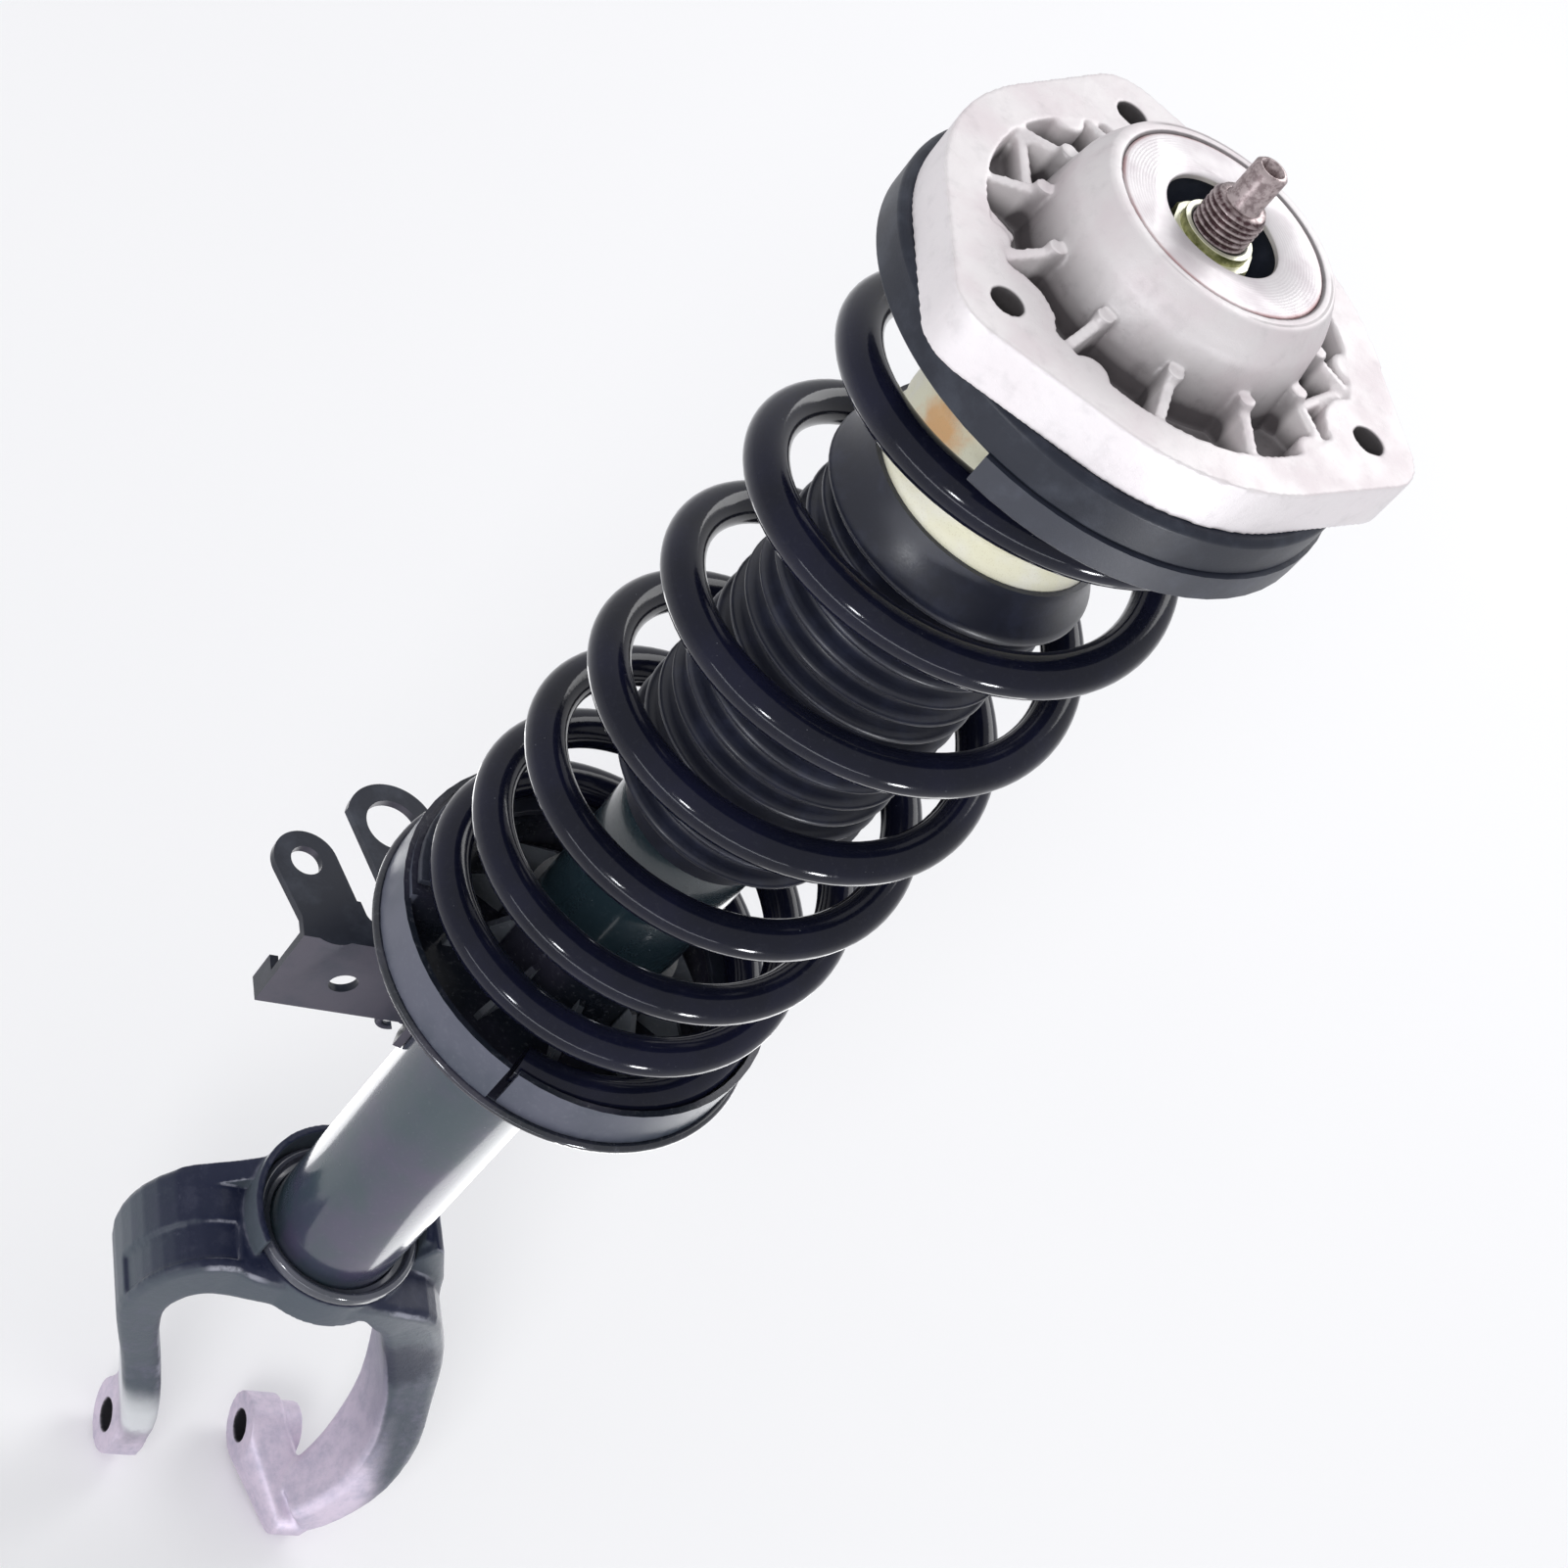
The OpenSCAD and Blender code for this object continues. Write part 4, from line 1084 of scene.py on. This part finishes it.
def joined(name: str, node: bpy.types.Object, sharp_deg: float = 32.0) -> bpy.types.Object:
    """Copies a CAD node with its points merged and its flat faces made whole.

    Args:
        name: The copy's name.
        node: The CAD node.
        sharp_deg: Folds steeper than this stay sharp.

    Returns:
        The copy.
    """
    work = Workpiece(name)
    work.bm.from_mesh(node.data)
    bmesh.ops.remove_doubles(work.bm, verts=work.bm.verts[:], dist=MERGE_REACH * MM)
    bmesh.ops.dissolve_limit(
        work.bm, angle_limit=math.radians(FLAT_FOLD_DEG), verts=work.bm.verts[:], edges=work.bm.edges[:],
        use_dissolve_boundaries=False,
    )
    return work.done(sharp_deg)


def break_edges(piece: bpy.types.Object, width: float, segments: int, fold_deg: float) -> bpy.types.Object:
    """Rounds a piece's sharp edges.

    Args:
        piece: The piece.
        width: Width of the rounding, in millimetres.
        segments: Faces across the rounding.
        fold_deg: Folds steeper than this are rounded.

    Returns:
        The piece.
    """
    edge = piece.modifiers.new("edge_break", "BEVEL")
    edge.width, edge.segments = width * MM, segments
    edge.limit_method, edge.angle_limit = "ANGLE", math.radians(fold_deg)
    edge.use_clamp_overlap, edge.harden_normals = True, True
    return piece


def cast_skin(name: str, node: bpy.types.Object, voxel: float, rounds: int, keep: float) -> bpy.types.Object:
    """Copies a CAD node as a casting, with every edge and corner softened.

    Args:
        name: The copy's name.
        node: The CAD node.
        voxel: Size of the skin's cells, in millimetres.
        rounds: Passes of smoothing.
        keep: Share of the skin's faces that stays, most of it where the form turns.

    Returns:
        The copy.
    """
    rough = joined(name + "_rough", node)
    skin = rough.modifiers.new("skin", "REMESH")
    skin.mode, skin.voxel_size = "VOXEL", voxel * MM
    ease = rough.modifiers.new("ease", "SMOOTH")
    ease.factor, ease.iterations = 0.5, rounds
    thin = rough.modifiers.new("thin", "DECIMATE")
    thin.decimate_type, thin.ratio = "COLLAPSE", keep
    bpy.context.view_layer.update()
    shaped = bpy.data.meshes.new_from_object(rough.evaluated_get(bpy.context.evaluated_depsgraph_get()))
    bpy.data.objects.remove(rough)
    work = Workpiece(name)
    work.bm.from_mesh(shaped)
    bpy.data.meshes.remove(shaped)
    bmesh.ops.recalc_face_normals(work.bm, faces=work.bm.faces[:])
    return work.done(SOFT_FOLD_DEG)


@dataclass
class Fitter:
    """Puts pieces on their bodies and gives them their finish."""

    frame: dict
    count: int = 0

    def node(self, name: str) -> bpy.types.Object:
        """Returns a CAD node by name."""
        return self.frame["nodes"][name]

    def fit(
        self, piece: bpy.types.Object, material: bpy.types.Material, body: Body | None, nodes: Iterable[str], slot: str
    ) -> bpy.types.Object:
        """Dresses a new piece, rides it on its body and lets it stand for CAD nodes.

        Args:
            piece: The new piece.
            material: Its finish.
            body: The body that it moves with, or None for a piece that already bends between two.
            nodes: CAD nodes that it stands for.
            slot: The record's material slot; not used.

        Returns:
            The piece.
        """
        piece.data.materials.clear()
        piece.data.materials.append(material)
        if body is not None:
            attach(piece, body.value)
        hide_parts(*nodes)
        self.count += 1
        LOG.info("%s: %d faces, for %s", piece.name, len(piece.data.polygons), ", ".join(nodes) or "no node")
        return piece

    def rounded(
        self, name: str, node: str, material: bpy.types.Material, body: Body, slot: str, width: float,
        segments: int = 2, folds: Span = (32.0, 32.0),
    ) -> bpy.types.Object:
        """Puts a copy with rounded edges in a CAD node's place.

        Args:
            name: The copy's name.
            node: The CAD node.
            material: Its finish.
            body: The body that it moves with.
            slot: The record's material slot.
            width: Width of the rounding, in millimetres.
            segments: Faces across the rounding.
            folds: Degrees past which a fold stays sharp, and past which it is rounded.

        Returns:
            The copy.
        """
        copy = break_edges(joined(name, self.node(node), folds[0]), width, segments, folds[1])
        return self.fit(copy, material, body, [node], slot)

    def coat(self, names: Iterable[str], material: bpy.types.Material) -> None:
        """Gives CAD nodes that stay as they are a finish.

        Args:
            names: The nodes.
            material: Their finish.
        """
        for name in names:
            node = self.node(name)
            for place in node.material_slots:
                place.link = "OBJECT"
                place.material = material
            if not node.material_slots:
                node.data.materials.append(material)
            LOG.info("%s keeps its solid, in %s", name, material.name)


# ---- Sub-assemblies ----


@dataclass
class SubAssembly:
    """A sub-assembly, which shares the fitter and the finishes with the others."""

    fitter: Fitter
    finishes: Finishes


@dataclass
class TopMount(SubAssembly):
    """The die-cast mount, its plate, bushing and washers."""

    skin_cell: float = 0.7
    skin_rounds: int = 4
    skin_keep: float = 0.35

    def build(self) -> None:
        """Forms the casting's skin and dresses the rest."""
        fit, use = self.fitter, self.finishes
        solid = fit.node("mount_casting")
        casting = cast_skin("top_mount_casting", solid, self.skin_cell, self.skin_rounds, self.skin_keep)
        fit.fit(casting, use.casting, Body.UPPER, ["mount_casting"], "die_cast_aluminium")
        fit.rounded("hub_plate", "hub_cover_plate", use.plate, Body.UPPER, "pressed_plate", 0.35)
        fit.rounded("cup_washer_top", "upper_cup_washer", use.steel, Body.UPPER, "bare_steel", 0.4)
        fit.coat(["bushing_sleeve", "lower_cup_washer"], use.steel)
        fit.rounded("hub_bushing", "mount_bushing", use.pad, Body.UPPER, "black_rubber", 0.8)


@dataclass
class RodAndNut(SubAssembly):
    """The chromed rod with its rolled thread, spigot and key socket, and the top nut."""

    rod_r: float = 10.0
    stud_r: float = 8.0
    root_r: float = 7.1
    end_r: float = 7.0
    end_reach: float = 2.0
    end_chamfer: float = 1.0
    shoulder: float = -10.0
    shoulder_chamfer: float = 0.6
    runout: float = 1.2
    flank_gain: float = 1.35
    root_flat: float = 0.12
    thread_pitch: float = 1.75
    thread_low: float = 4.0
    spigot_r: float = 4.8
    spigot_h: float = 12.0
    spigot_foot: Span = (0.4, 0.5)
    spigot_chamfer: float = 0.8
    key_mouth: Span = (0.25, 0.35)
    key_af: float = 5.5
    key_depth: float = 6.0
    rows_per_turn: int = 8
    steps: int = 64

    def screw_radius(self, height: float, angle: float) -> float:
        """Works out the rolled thread.

        Args:
            height: Height on the rod, in millimetres.
            angle: Angle round it, in radians.

        Returns:
            The thread's radius there.
        """
        phase = (height / self.thread_pitch - angle / math.tau) % 1.0
        slope = 1.0 - abs(2.0 * phase - 1.0)
        crest = min(1.0, max(0.0, slope * self.flank_gain - self.root_flat))
        return self.root_r + (self.stud_r - self.root_r) * crest

    def build(self) -> None:
        """Forms the rod and the nut."""
        fit, use = self.fitter, self.finishes
        low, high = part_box("piston_rod")
        bottom, tip = low.z / MM, high.z / MM
        stud_top = tip - self.spigot_h
        end_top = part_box("piston")[1].z / MM + self.end_reach
        thread_h = stud_top - self.runout - self.thread_low
        rows = int(thread_h / self.thread_pitch * self.rows_per_turn)
        outline = [(0.0, bottom), (self.end_r - self.end_chamfer, bottom), (self.end_r, bottom + self.end_chamfer),
                   (self.end_r, end_top), (self.rod_r, end_top), (self.rod_r, self.shoulder - self.shoulder_chamfer),
                   (self.rod_r - self.shoulder_chamfer, self.shoulder), (self.stud_r, self.shoulder)]
        outline += [(self.stud_r, self.thread_low + thread_h * i / rows) for i in range(rows + 1)]
        foot_out, foot_up = self.spigot_foot
        outline += [(self.stud_r - self.runout, stud_top), (self.spigot_r + foot_out, stud_top),
                    (self.spigot_r, stud_top + foot_up), (self.spigot_r, tip - self.spigot_chamfer),
                    (self.spigot_r - self.spigot_chamfer, tip)]
        key_r = self.key_af / math.sqrt(3.0)
        key_end = tip - self.key_depth
        mouth_out, mouth_down = self.key_mouth
        outline += [(key_r + mouth_out, tip), (key_r, tip - mouth_down), (key_r, key_end), (0.0, key_end)]
        work = Workpiece("damper_rod").turn(outline, self.steps, closed=False).weld()

        near = 0.01

        def form(point: Vector) -> Vector:
            """Rolls the thread and gives the key socket its six sides.

            Args:
                point: A point of the plain rod.

            Returns:
                Its place on the finished one.
            """
            radius, angle = math.hypot(point.x, point.y), math.atan2(point.y, point.x)
            if radius < 1e-6:
                return point
            new = radius
            if self.thread_low - near < point.z < stud_top - 1.0 and abs(radius - self.stud_r) < near:
                new = self.screw_radius(point.z, angle)
            if radius < key_r + near and point.z > key_end - near:
                flat = math.tau / 6.0
                sector = (angle + flat / 2.0) % flat - flat / 2.0
                new = self.key_af / 2.0 / math.cos(sector)
            return Vector((point.x * new / radius, point.y * new / radius, point.z))

        fit.fit(work.shift(form).done(50.0), use.rod, Body.UPPER, ["piston_rod"], "ground_rod")
        fit.rounded("rod_nut", "top_nut", use.zinc, Body.UPPER, "yellow_zinc", 0.35, 3)


@dataclass
class SpringSeat(SubAssembly):
    """The pressed seat, its moulded pad and the cup that holds the bump stop."""

    def build(self) -> None:
        """Rounds the pressed and moulded edges."""
        fit, use = self.fitter, self.finishes
        fit.rounded("spring_seat", "upper_spring_seat", use.satin, Body.UPPER, "satin_black", 0.8, 3)
        fit.rounded("spring_pad", "upper_spring_pad", use.pad, Body.UPPER, "black_rubber", 0.6, folds=(26.0, 26.0))
        fit.rounded("bump_cup", "bump_stop_cup", use.satin, Body.UPPER, "satin_black", 0.6)


@dataclass
class BumpStop(SubAssembly):
    """The foam bump stop with its two shallow grooves and soft nose.

    Its end steps in under the boot's cuff, which leaves room for the folded ribs. The flank is
    given by insets and heights above the bottom, and the nose by radii and such heights.
    """

    bore: float = 10.5
    ease: float = 2.2
    flank: Outline = ((0.0, 52.0), (1.6, 49.0), (0.0, 46.0), (0.0, 30.0), (3.2, 26.0), (0.0, 22.0), (0.0, 16.4),
                      (3.8, 14.8), (4.2, 7.0))
    nose: Outline = ((26.0, 5.0), (23.0, 2.0), (21.0, 0.0))

    def build(self) -> None:
        """Turns the foam block."""
        low, high = (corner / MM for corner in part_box("bump_stop"))
        radius, bottom, top = high.x, low.z, high.z
        outline = [(self.bore, top), (radius, top), *((radius - inset, bottom + up) for inset, up in self.flank),
                   *placed(self.nose, 0.0, bottom), (self.bore, bottom)]
        piece = Workpiece("bump_stop_foam").turn(outline, 96, ease=self.ease).weld().done(60.0)
        self.fitter.fit(piece, self.finishes.foam, Body.UPPER, ["bump_stop"], "foam_polyurethane")


@dataclass
class DustBoot(SubAssembly):
    """The ribbed boot: a flared cuff on the bump stop, fifteen soft ribs and a collar.

    The two outlines are given by steps out and up from the cuff, the rim, the last rib, the
    collar and the foot. Those named bore belong to the inner face.
    """

    top: float = -82.5
    cuff_in: float = 35.3
    wall: float = 1.6
    rim_r: float = 42.0
    rim_drop: float = 16.0
    crest_r: float = 38.6
    valley_r: float = 33.8
    pitch: float = 8.3
    ribs: int = 15
    points_per_rib: int = 12
    rib_fullness: float = 0.62
    rib_gap: float = 4.0
    collar_in: float = 25.05
    shoulder_h: float = 5.5
    collar_h: float = 8.0
    travel: float = 115.0
    cuff_out: Outline = ((0.0, 0.0), (0.5, -3.0))
    rim_out: Outline = ((-0.9, 3.4), (0.0, 2.0), (0.0, 0.6), (-1.2, -0.8), (-5.0, -1.6))
    last_out: Outline = ((-0.1, -1.0), (-0.7, -2.0))
    grip_out: Outline = ((1.2, 0.7), (0.0, -0.6))
    foot_out: Outline = ((0.0, 0.5), (-0.5, 0.0))
    flare: Span = (1.6, 8.0)
    cuff_bore: Outline = ((0.0, 0.0), (0.0, -6.0))
    rim_bore: Outline = ((-1.4, 2.0), (-1.6, 0.8), (-5.0, -0.4))
    last_bore: Outline = ((-0.1, -0.4), (-0.7, -1.0))
    grip_bore: Outline = ((1.0, 1.6), (0.0, 0.6))
    flare_bore: Span = (1.2, 6.0)

    def rib_line(self, inset: float, start: float) -> list[tuple[float, float]]:
        """Returns the rounded ribs' outline.

        Args:
            inset: How far inside the outer face the line runs, in millimetres.
            start: Height of the first rib's top.

        Returns:
            Points of radius and height.
        """
        line = []
        middle, swing = (self.crest_r + self.valley_r) / 2, (self.crest_r - self.valley_r) / 2
        for i in range(self.ribs * self.points_per_rib):
            share = i / self.points_per_rib
            lean = math.cos(math.tau * (share + 0.5))
            push = math.copysign(abs(lean) ** self.rib_fullness, lean)
            line.append((middle + swing * push - inset, start - share * self.pitch))
        return line

    def build(self) -> None:
        """Turns the boot and rides it on the upper body."""
        rim = self.top - self.rim_drop
        start = rim - self.rib_gap
        end = start - self.ribs * self.pitch
        low = end - self.shoulder_h
        foot = low - self.collar_h
        cuff, grip = self.cuff_in + self.wall, self.collar_in + self.wall
        rim_in, valley_in = self.rim_r - self.wall, self.valley_r - self.wall
        outer = [*placed(self.cuff_out, cuff, self.top), *placed([self.flare], cuff, rim),
                 *placed(self.rim_out, self.rim_r, rim), *self.rib_line(0.0, start),
                 *placed(self.last_out, self.valley_r, end), *placed(self.grip_out, grip, low),
                 *placed(self.foot_out, grip, foot)]
        inner = [*placed(self.cuff_bore, self.cuff_in, self.top), *placed([self.flare_bore], self.cuff_in, rim),
                 *placed(self.rim_bore, rim_in, rim), *self.rib_line(self.wall, start),
                 *placed(self.last_bore, valley_in, end), *placed(self.grip_bore, self.collar_in, low),
                 (self.collar_in, foot)]
        work = Workpiece("ribbed_boot").turn([*outer, *reversed(inner)], 88).weld()
        boot = self.fitter.fit(work.done(SOFT_FOLD_DEG), self.finishes.boot, Body.UPPER, ["dust_boot"], "boot_rubber")
        length = self.top - foot
        1.0 - self.travel / length
        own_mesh(boot)


@dataclass
class CoilSpring(SubAssembly):
    """The coil spring, with closer turns at its lower end."""

    wire_r: float = 6.4
    coil_r: float = 55.7
    turns: float = 7.49
    top: float = -26.4
    height: float = 292.0
    closing: float = 0.24
    start_deg: float = 54.6
    sides: int = 28
    steps_per_turn: int = 80
    seated_above: float = 0.95
    seated_below: float = 0.84
    shut_pitch: float = 13.2
    end_round: float = 0.5
    end_bulge: float = 0.3
    share_layer: str = "wire_share"

    def fall(self, share: float) -> float:
        """Returns the wire's height at a share of the way down."""
        return self.top - self.height * ((1.0 + self.closing) * share - self.closing * share**3)

    def follow(self, share: float) -> float:
        """Works out how much of the lower body's stroke a point of the wire makes.

        The turns in the two seats move with them. Between them every gap closes by the same share,
        so the wire stays round and no turn reaches the next.

        Args:
            share: The point's share of the way down the wire.

        Returns:
            0 where it stays with the upper body, up to 1 where it moves with the lower one.
        """
        first, last = self.seated_above / self.turns, 1.0 - self.seated_below / self.turns

        def slack(at: float) -> float:
            """Returns the open height above a point of the wire."""
            return self.top - self.fall(at) - self.shut_pitch * self.turns * at

        here = min(max(share, first), last)
        return (slack(here) - slack(first)) / (slack(last) - slack(first))

    def build(self) -> None:
        """Winds the wire and lets the spring close with the damper's stroke."""
        work = Workpiece("coil_spring_wound")
        steps = round(self.turns * self.steps_per_turn)
        drop = self.height / steps
        place = (
            Matrix.Rotation(math.radians(self.start_deg), 4, "Z")
            @ Matrix.Translation((self.coil_r * MM, 0.0, self.top * MM))
            @ Matrix.Rotation(math.pi / 2, 4, "X")
        )
        bmesh.ops.create_circle(work.bm, cap_ends=False, segments=self.sides, radius=self.wire_r * MM, matrix=place)
        bmesh.ops.spin(
            work.bm, geom=[*work.bm.verts, *work.bm.edges], cent=(0, 0, 0), axis=(0, 0, -1),
            dvec=(0, 0, -drop * MM), angle=math.tau * self.turns, steps=steps, use_merge=False,
        )
        layer = work.bm.verts.layers.float.new(self.share_layer)
        for i, vert in enumerate(work.bm.verts):
            row = i // self.sides
            vert.co.z += (self.fall(row / steps) - (self.top - drop * row)) * MM
            vert[layer] = self.follow(row / steps)
        ends = [edge for edge in work.bm.edges if len(edge.link_faces) == 1]
        bmesh.ops.holes_fill(work.bm, edges=ends, sides=0)
        for cap in [face for face in work.bm.faces if len(face.verts) == self.sides]:
            bmesh.ops.inset_region(work.bm, faces=[cap], thickness=self.end_round * MM, depth=self.end_bulge * MM)
        piece = work.weld().done(50.0)
        bottom = self.top - self.height
        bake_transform(piece, Body.UPPER.value, Body.LOWER.value, (0, 0, self.top * MM), (0, 0, bottom * MM))
        # Weights by height alone would flatten the wire, so each vertex takes its share along the wire instead.
        shares = [point.value for point in piece.data.attributes[self.share_layer].data]
        weights = piece.data.attributes.get("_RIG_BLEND")
        if weights is None:
            LOG.warning("the blend has no weights to set, so the wire bends by height alone")
        else:
            weights.data.foreach_set("value", shares)
        self.fitter.fit(piece, self.finishes.spring, None, ["coil_spring"], "spring_coat")


@dataclass
class DamperAndPerch(SubAssembly):
    """The damper tube, its cap, the lower perch with its pad, and the hose bracket."""

    def build(self) -> None:
        """Rounds the pressed edges and dresses the tube."""
        fit, use = self.fitter, self.finishes
        tube = joined("outer_tube", fit.node("damper_tube"))
        fit.fit(tube, use.tube, Body.LOWER, ["damper_tube"], "black_enamel")
        fit.rounded("tube_cap", "bump_cap", use.enamel, Body.LOWER, "black_enamel", 0.5)
        fit.rounded("spring_perch", "lower_perch", use.perch, Body.LOWER, "black_enamel", 0.5, folds=(26.0, 30.0))
        fit.rounded("perch_pad", "lower_spring_pad", use.pad, Body.LOWER, "black_rubber", 0.5, folds=(26.0, 30.0))
        fit.rounded("hose_holder", "hose_bracket", use.bracket, Body.LOWER, "satin_black", 0.6)


@dataclass
class ForkEnd(SubAssembly):
    """The forked casting and the ring round the tube where it enters."""

    skin_cell: float = 0.8
    skin_rounds: int = 4
    skin_keep: float = 0.4

    def build(self) -> None:
        """Forms the fork's skin and rounds the ring."""
        fit, use = self.fitter, self.finishes
        fork = cast_skin("forked_casting", fit.node("fork"), self.skin_cell, self.skin_rounds, self.skin_keep)
        fit.fit(fork, use.fork, Body.LOWER, ["fork"], "fork_casting")
        fit.rounded("tube_ring", "fork_collar_ring", use.ring, Body.LOWER, "black_enamel", 0.5)


@dataclass
class DamperInside(SubAssembly):
    """The pieces sealed in the tube, which keep their solids."""

    steel: tuple[str, ...] = ("rebound_stop", "upper_shims", "lower_shims", "piston_nut", "inner_cylinder",
                              "base_valve_disc", "tube_bottom_cap")
    turned: tuple[str, ...] = ("piston", "rod_guide", "base_valve")

    def build(self) -> None:
        """Dresses the sealed pieces."""
        fit, use = self.fitter, self.finishes
        fit.coat(self.steel, use.steel)
        fit.coat(self.turned, use.turned)
        fit.coat(["piston_band"], use.band)
        fit.coat(["guide_bush"], use.bronze)
        fit.coat(["rod_seal"], use.pad)


# ---- Studio ----


@dataclass(frozen=True)
class SoftBox:
    """A rectangular studio lamp that hangs and faces a target, or lies flat and faces up."""

    name: str
    place: Triple
    size: tuple[float, float]
    power: float
    tint: Colour = (1.0, 1.0, 1.0)
    shine: Shine = Shine.BOTH
    lies_flat: bool = False

    def light(self, target: Triple) -> bpy.types.Object:
        """Sets the lamp in its place.

        Args:
            target: The point that a hanging lamp faces.

        Returns:
            The lamp.
        """
        data = bpy.data.lights.new(self.name, "AREA")
        data.shape, data.size, data.size_y = "RECTANGLE", *self.size
        data.energy, data.color = self.power, self.tint
        lamp = bpy.data.objects.new(self.name, data)
        lamp.location = self.place
        lamp.rotation_mode = "QUATERNION"
        toward = Vector((0, 0, 1)) if self.lies_flat else Vector(target) - Vector(self.place)
        lamp.rotation_quaternion = toward.to_track_quat("-Z", "Y")
        lamp.visible_camera = False
        lamp.visible_diffuse = self.shine is not Shine.GLOSS
        lamp.visible_glossy = self.shine is not Shine.MATT
        bpy.context.scene.collection.objects.link(lamp)
        return lamp


@dataclass
class Studio:
    """The pale floor, the soft light and the camera."""

    centre: Triple = (0.0, 0.0, -0.32)
    floor_side: float = 14.0
    floor_gap: float = 0.0006
    floor_cells: int = 8
    sky: float = 0.755
    sky_tint: Colour = (0.97, 0.975, 1.0)
    camera_place: Triple = (-0.4544, -0.5271, 0.3923)
    right: Triple = (0.8452, -0.1649, 0.5084)
    up: Triple = (-0.1786, 0.8094, 0.5594)
    ahead: Triple = (0.5037, 0.5636, -0.6547)
    lens: float = 71.5
    sensor: float = 36.0
    clip: Span = (0.02, 60.0)
    lamps: list[SoftBox] = field(default_factory=lambda: [
        SoftBox("key_box", (-1.5, -1.7, 1.3), (0.9, 0.9), 22.0, (1.0, 0.99, 0.99), Shine.MATT),
        SoftBox("back_box", (1.8, 1.2, 1.2), (1.2, 1.2), 17.0),
        SoftBox("left_glint", (-1.36, -0.99, -0.01), (0.16, 0.16), 7.0, (0.94, 0.96, 1.0), Shine.GLOSS),
        SoftBox("front_glint", (0.42, -1.26, -0.53), (0.16, 0.16), 9.0, (0.95, 0.96, 1.0), Shine.GLOSS),
        SoftBox("low_strip", (-0.80, -0.90, -0.46), (2.4, 0.10), 6.0, (0.90, 0.93, 1.0), Shine.GLOSS),
        SoftBox("right_card", (0.29, 0.01, -0.6642), (0.34, 0.34), 0.8, shine=Shine.GLOSS, lies_flat=True),
        SoftBox("far_card", (0.02, 0.27, -0.6640), (0.26, 0.26), 0.55, shine=Shine.GLOSS, lies_flat=True),
    ])

    def build(self) -> None:
        """Sets the stage."""
        self.lay_floor()
        self.light_sky()
        for lamp in self.lamps:
            lamp.light(self.centre)
        self.set_camera()

    def lay_floor(self) -> None:
        """Lays the floor under the fork's feet."""
        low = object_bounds()[0].z
        bm = bmesh.new()
        bmesh.ops.create_grid(bm, x_segments=self.floor_cells, y_segments=self.floor_cells, size=self.floor_side / 2,
                              matrix=Matrix.Translation((0, 0, low - self.floor_gap)))
        mesh = bpy.data.meshes.new("floor")
        bm.to_mesh(mesh)
        bm.free()
        floor = bpy.data.objects.new("floor", mesh)
        floor.data.materials.append(PaleFloor().material())
        bpy.context.scene.collection.objects.link(floor)
        floor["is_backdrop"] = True

    def light_sky(self) -> None:
        """Fills the studio with even pale light."""
        world = bpy.data.worlds.new("studio")
        world.use_nodes = True
        back = world.node_tree.nodes["Background"]
        back.inputs["Color"].default_value = (*self.sky_tint, 1.0)
        back.inputs["Strength"].default_value = self.sky
        bpy.context.scene.world = world
        bpy.context.scene.view_settings.view_transform = "Standard"

    def set_camera(self) -> None:
        """Sets the camera at the product view."""
        data = bpy.data.cameras.new("product_view")
        data.lens, data.sensor_width = self.lens, self.sensor
        data.clip_start, data.clip_end = self.clip
        camera = bpy.data.objects.new("product_view", data)
        right, up, back = Vector(self.right), Vector(self.up), -Vector(self.ahead)
        turn = Matrix((right, up, back)).transposed().to_4x4()
        camera.matrix_world = Matrix.Translation(self.camera_place) @ turn
        bpy.context.scene.collection.objects.link(camera)
        bpy.context.scene.camera = camera


def corners(box: tuple[Vector, Vector]) -> list[list[float]]:
    """Returns a box's lowest and highest corner as plain lists."""
    return [list(map(float, corner)) for corner in box]


def main() -> None:
    """Builds the strut's looks and sets the stage."""
    logging.basicConfig(level=logging.INFO, format="%(name)s: %(message)s")
    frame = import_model()
    fitter, finishes = Fitter(frame), Finishes()
    parts = [
        TopMount(fitter, finishes),
        RodAndNut(fitter, finishes),
        SpringSeat(fitter, finishes),
        BumpStop(fitter, finishes),
        DustBoot(fitter, finishes),
        CoilSpring(fitter, finishes),
        DamperAndPerch(fitter, finishes),
        ForkEnd(fitter, finishes),
        DamperInside(fitter, finishes),
    ]
    for part in parts:
        part.build()
    Studio().build()
    LOG.info("%d formed pieces", fitter.count)


if __name__ == "__main__":
    main()
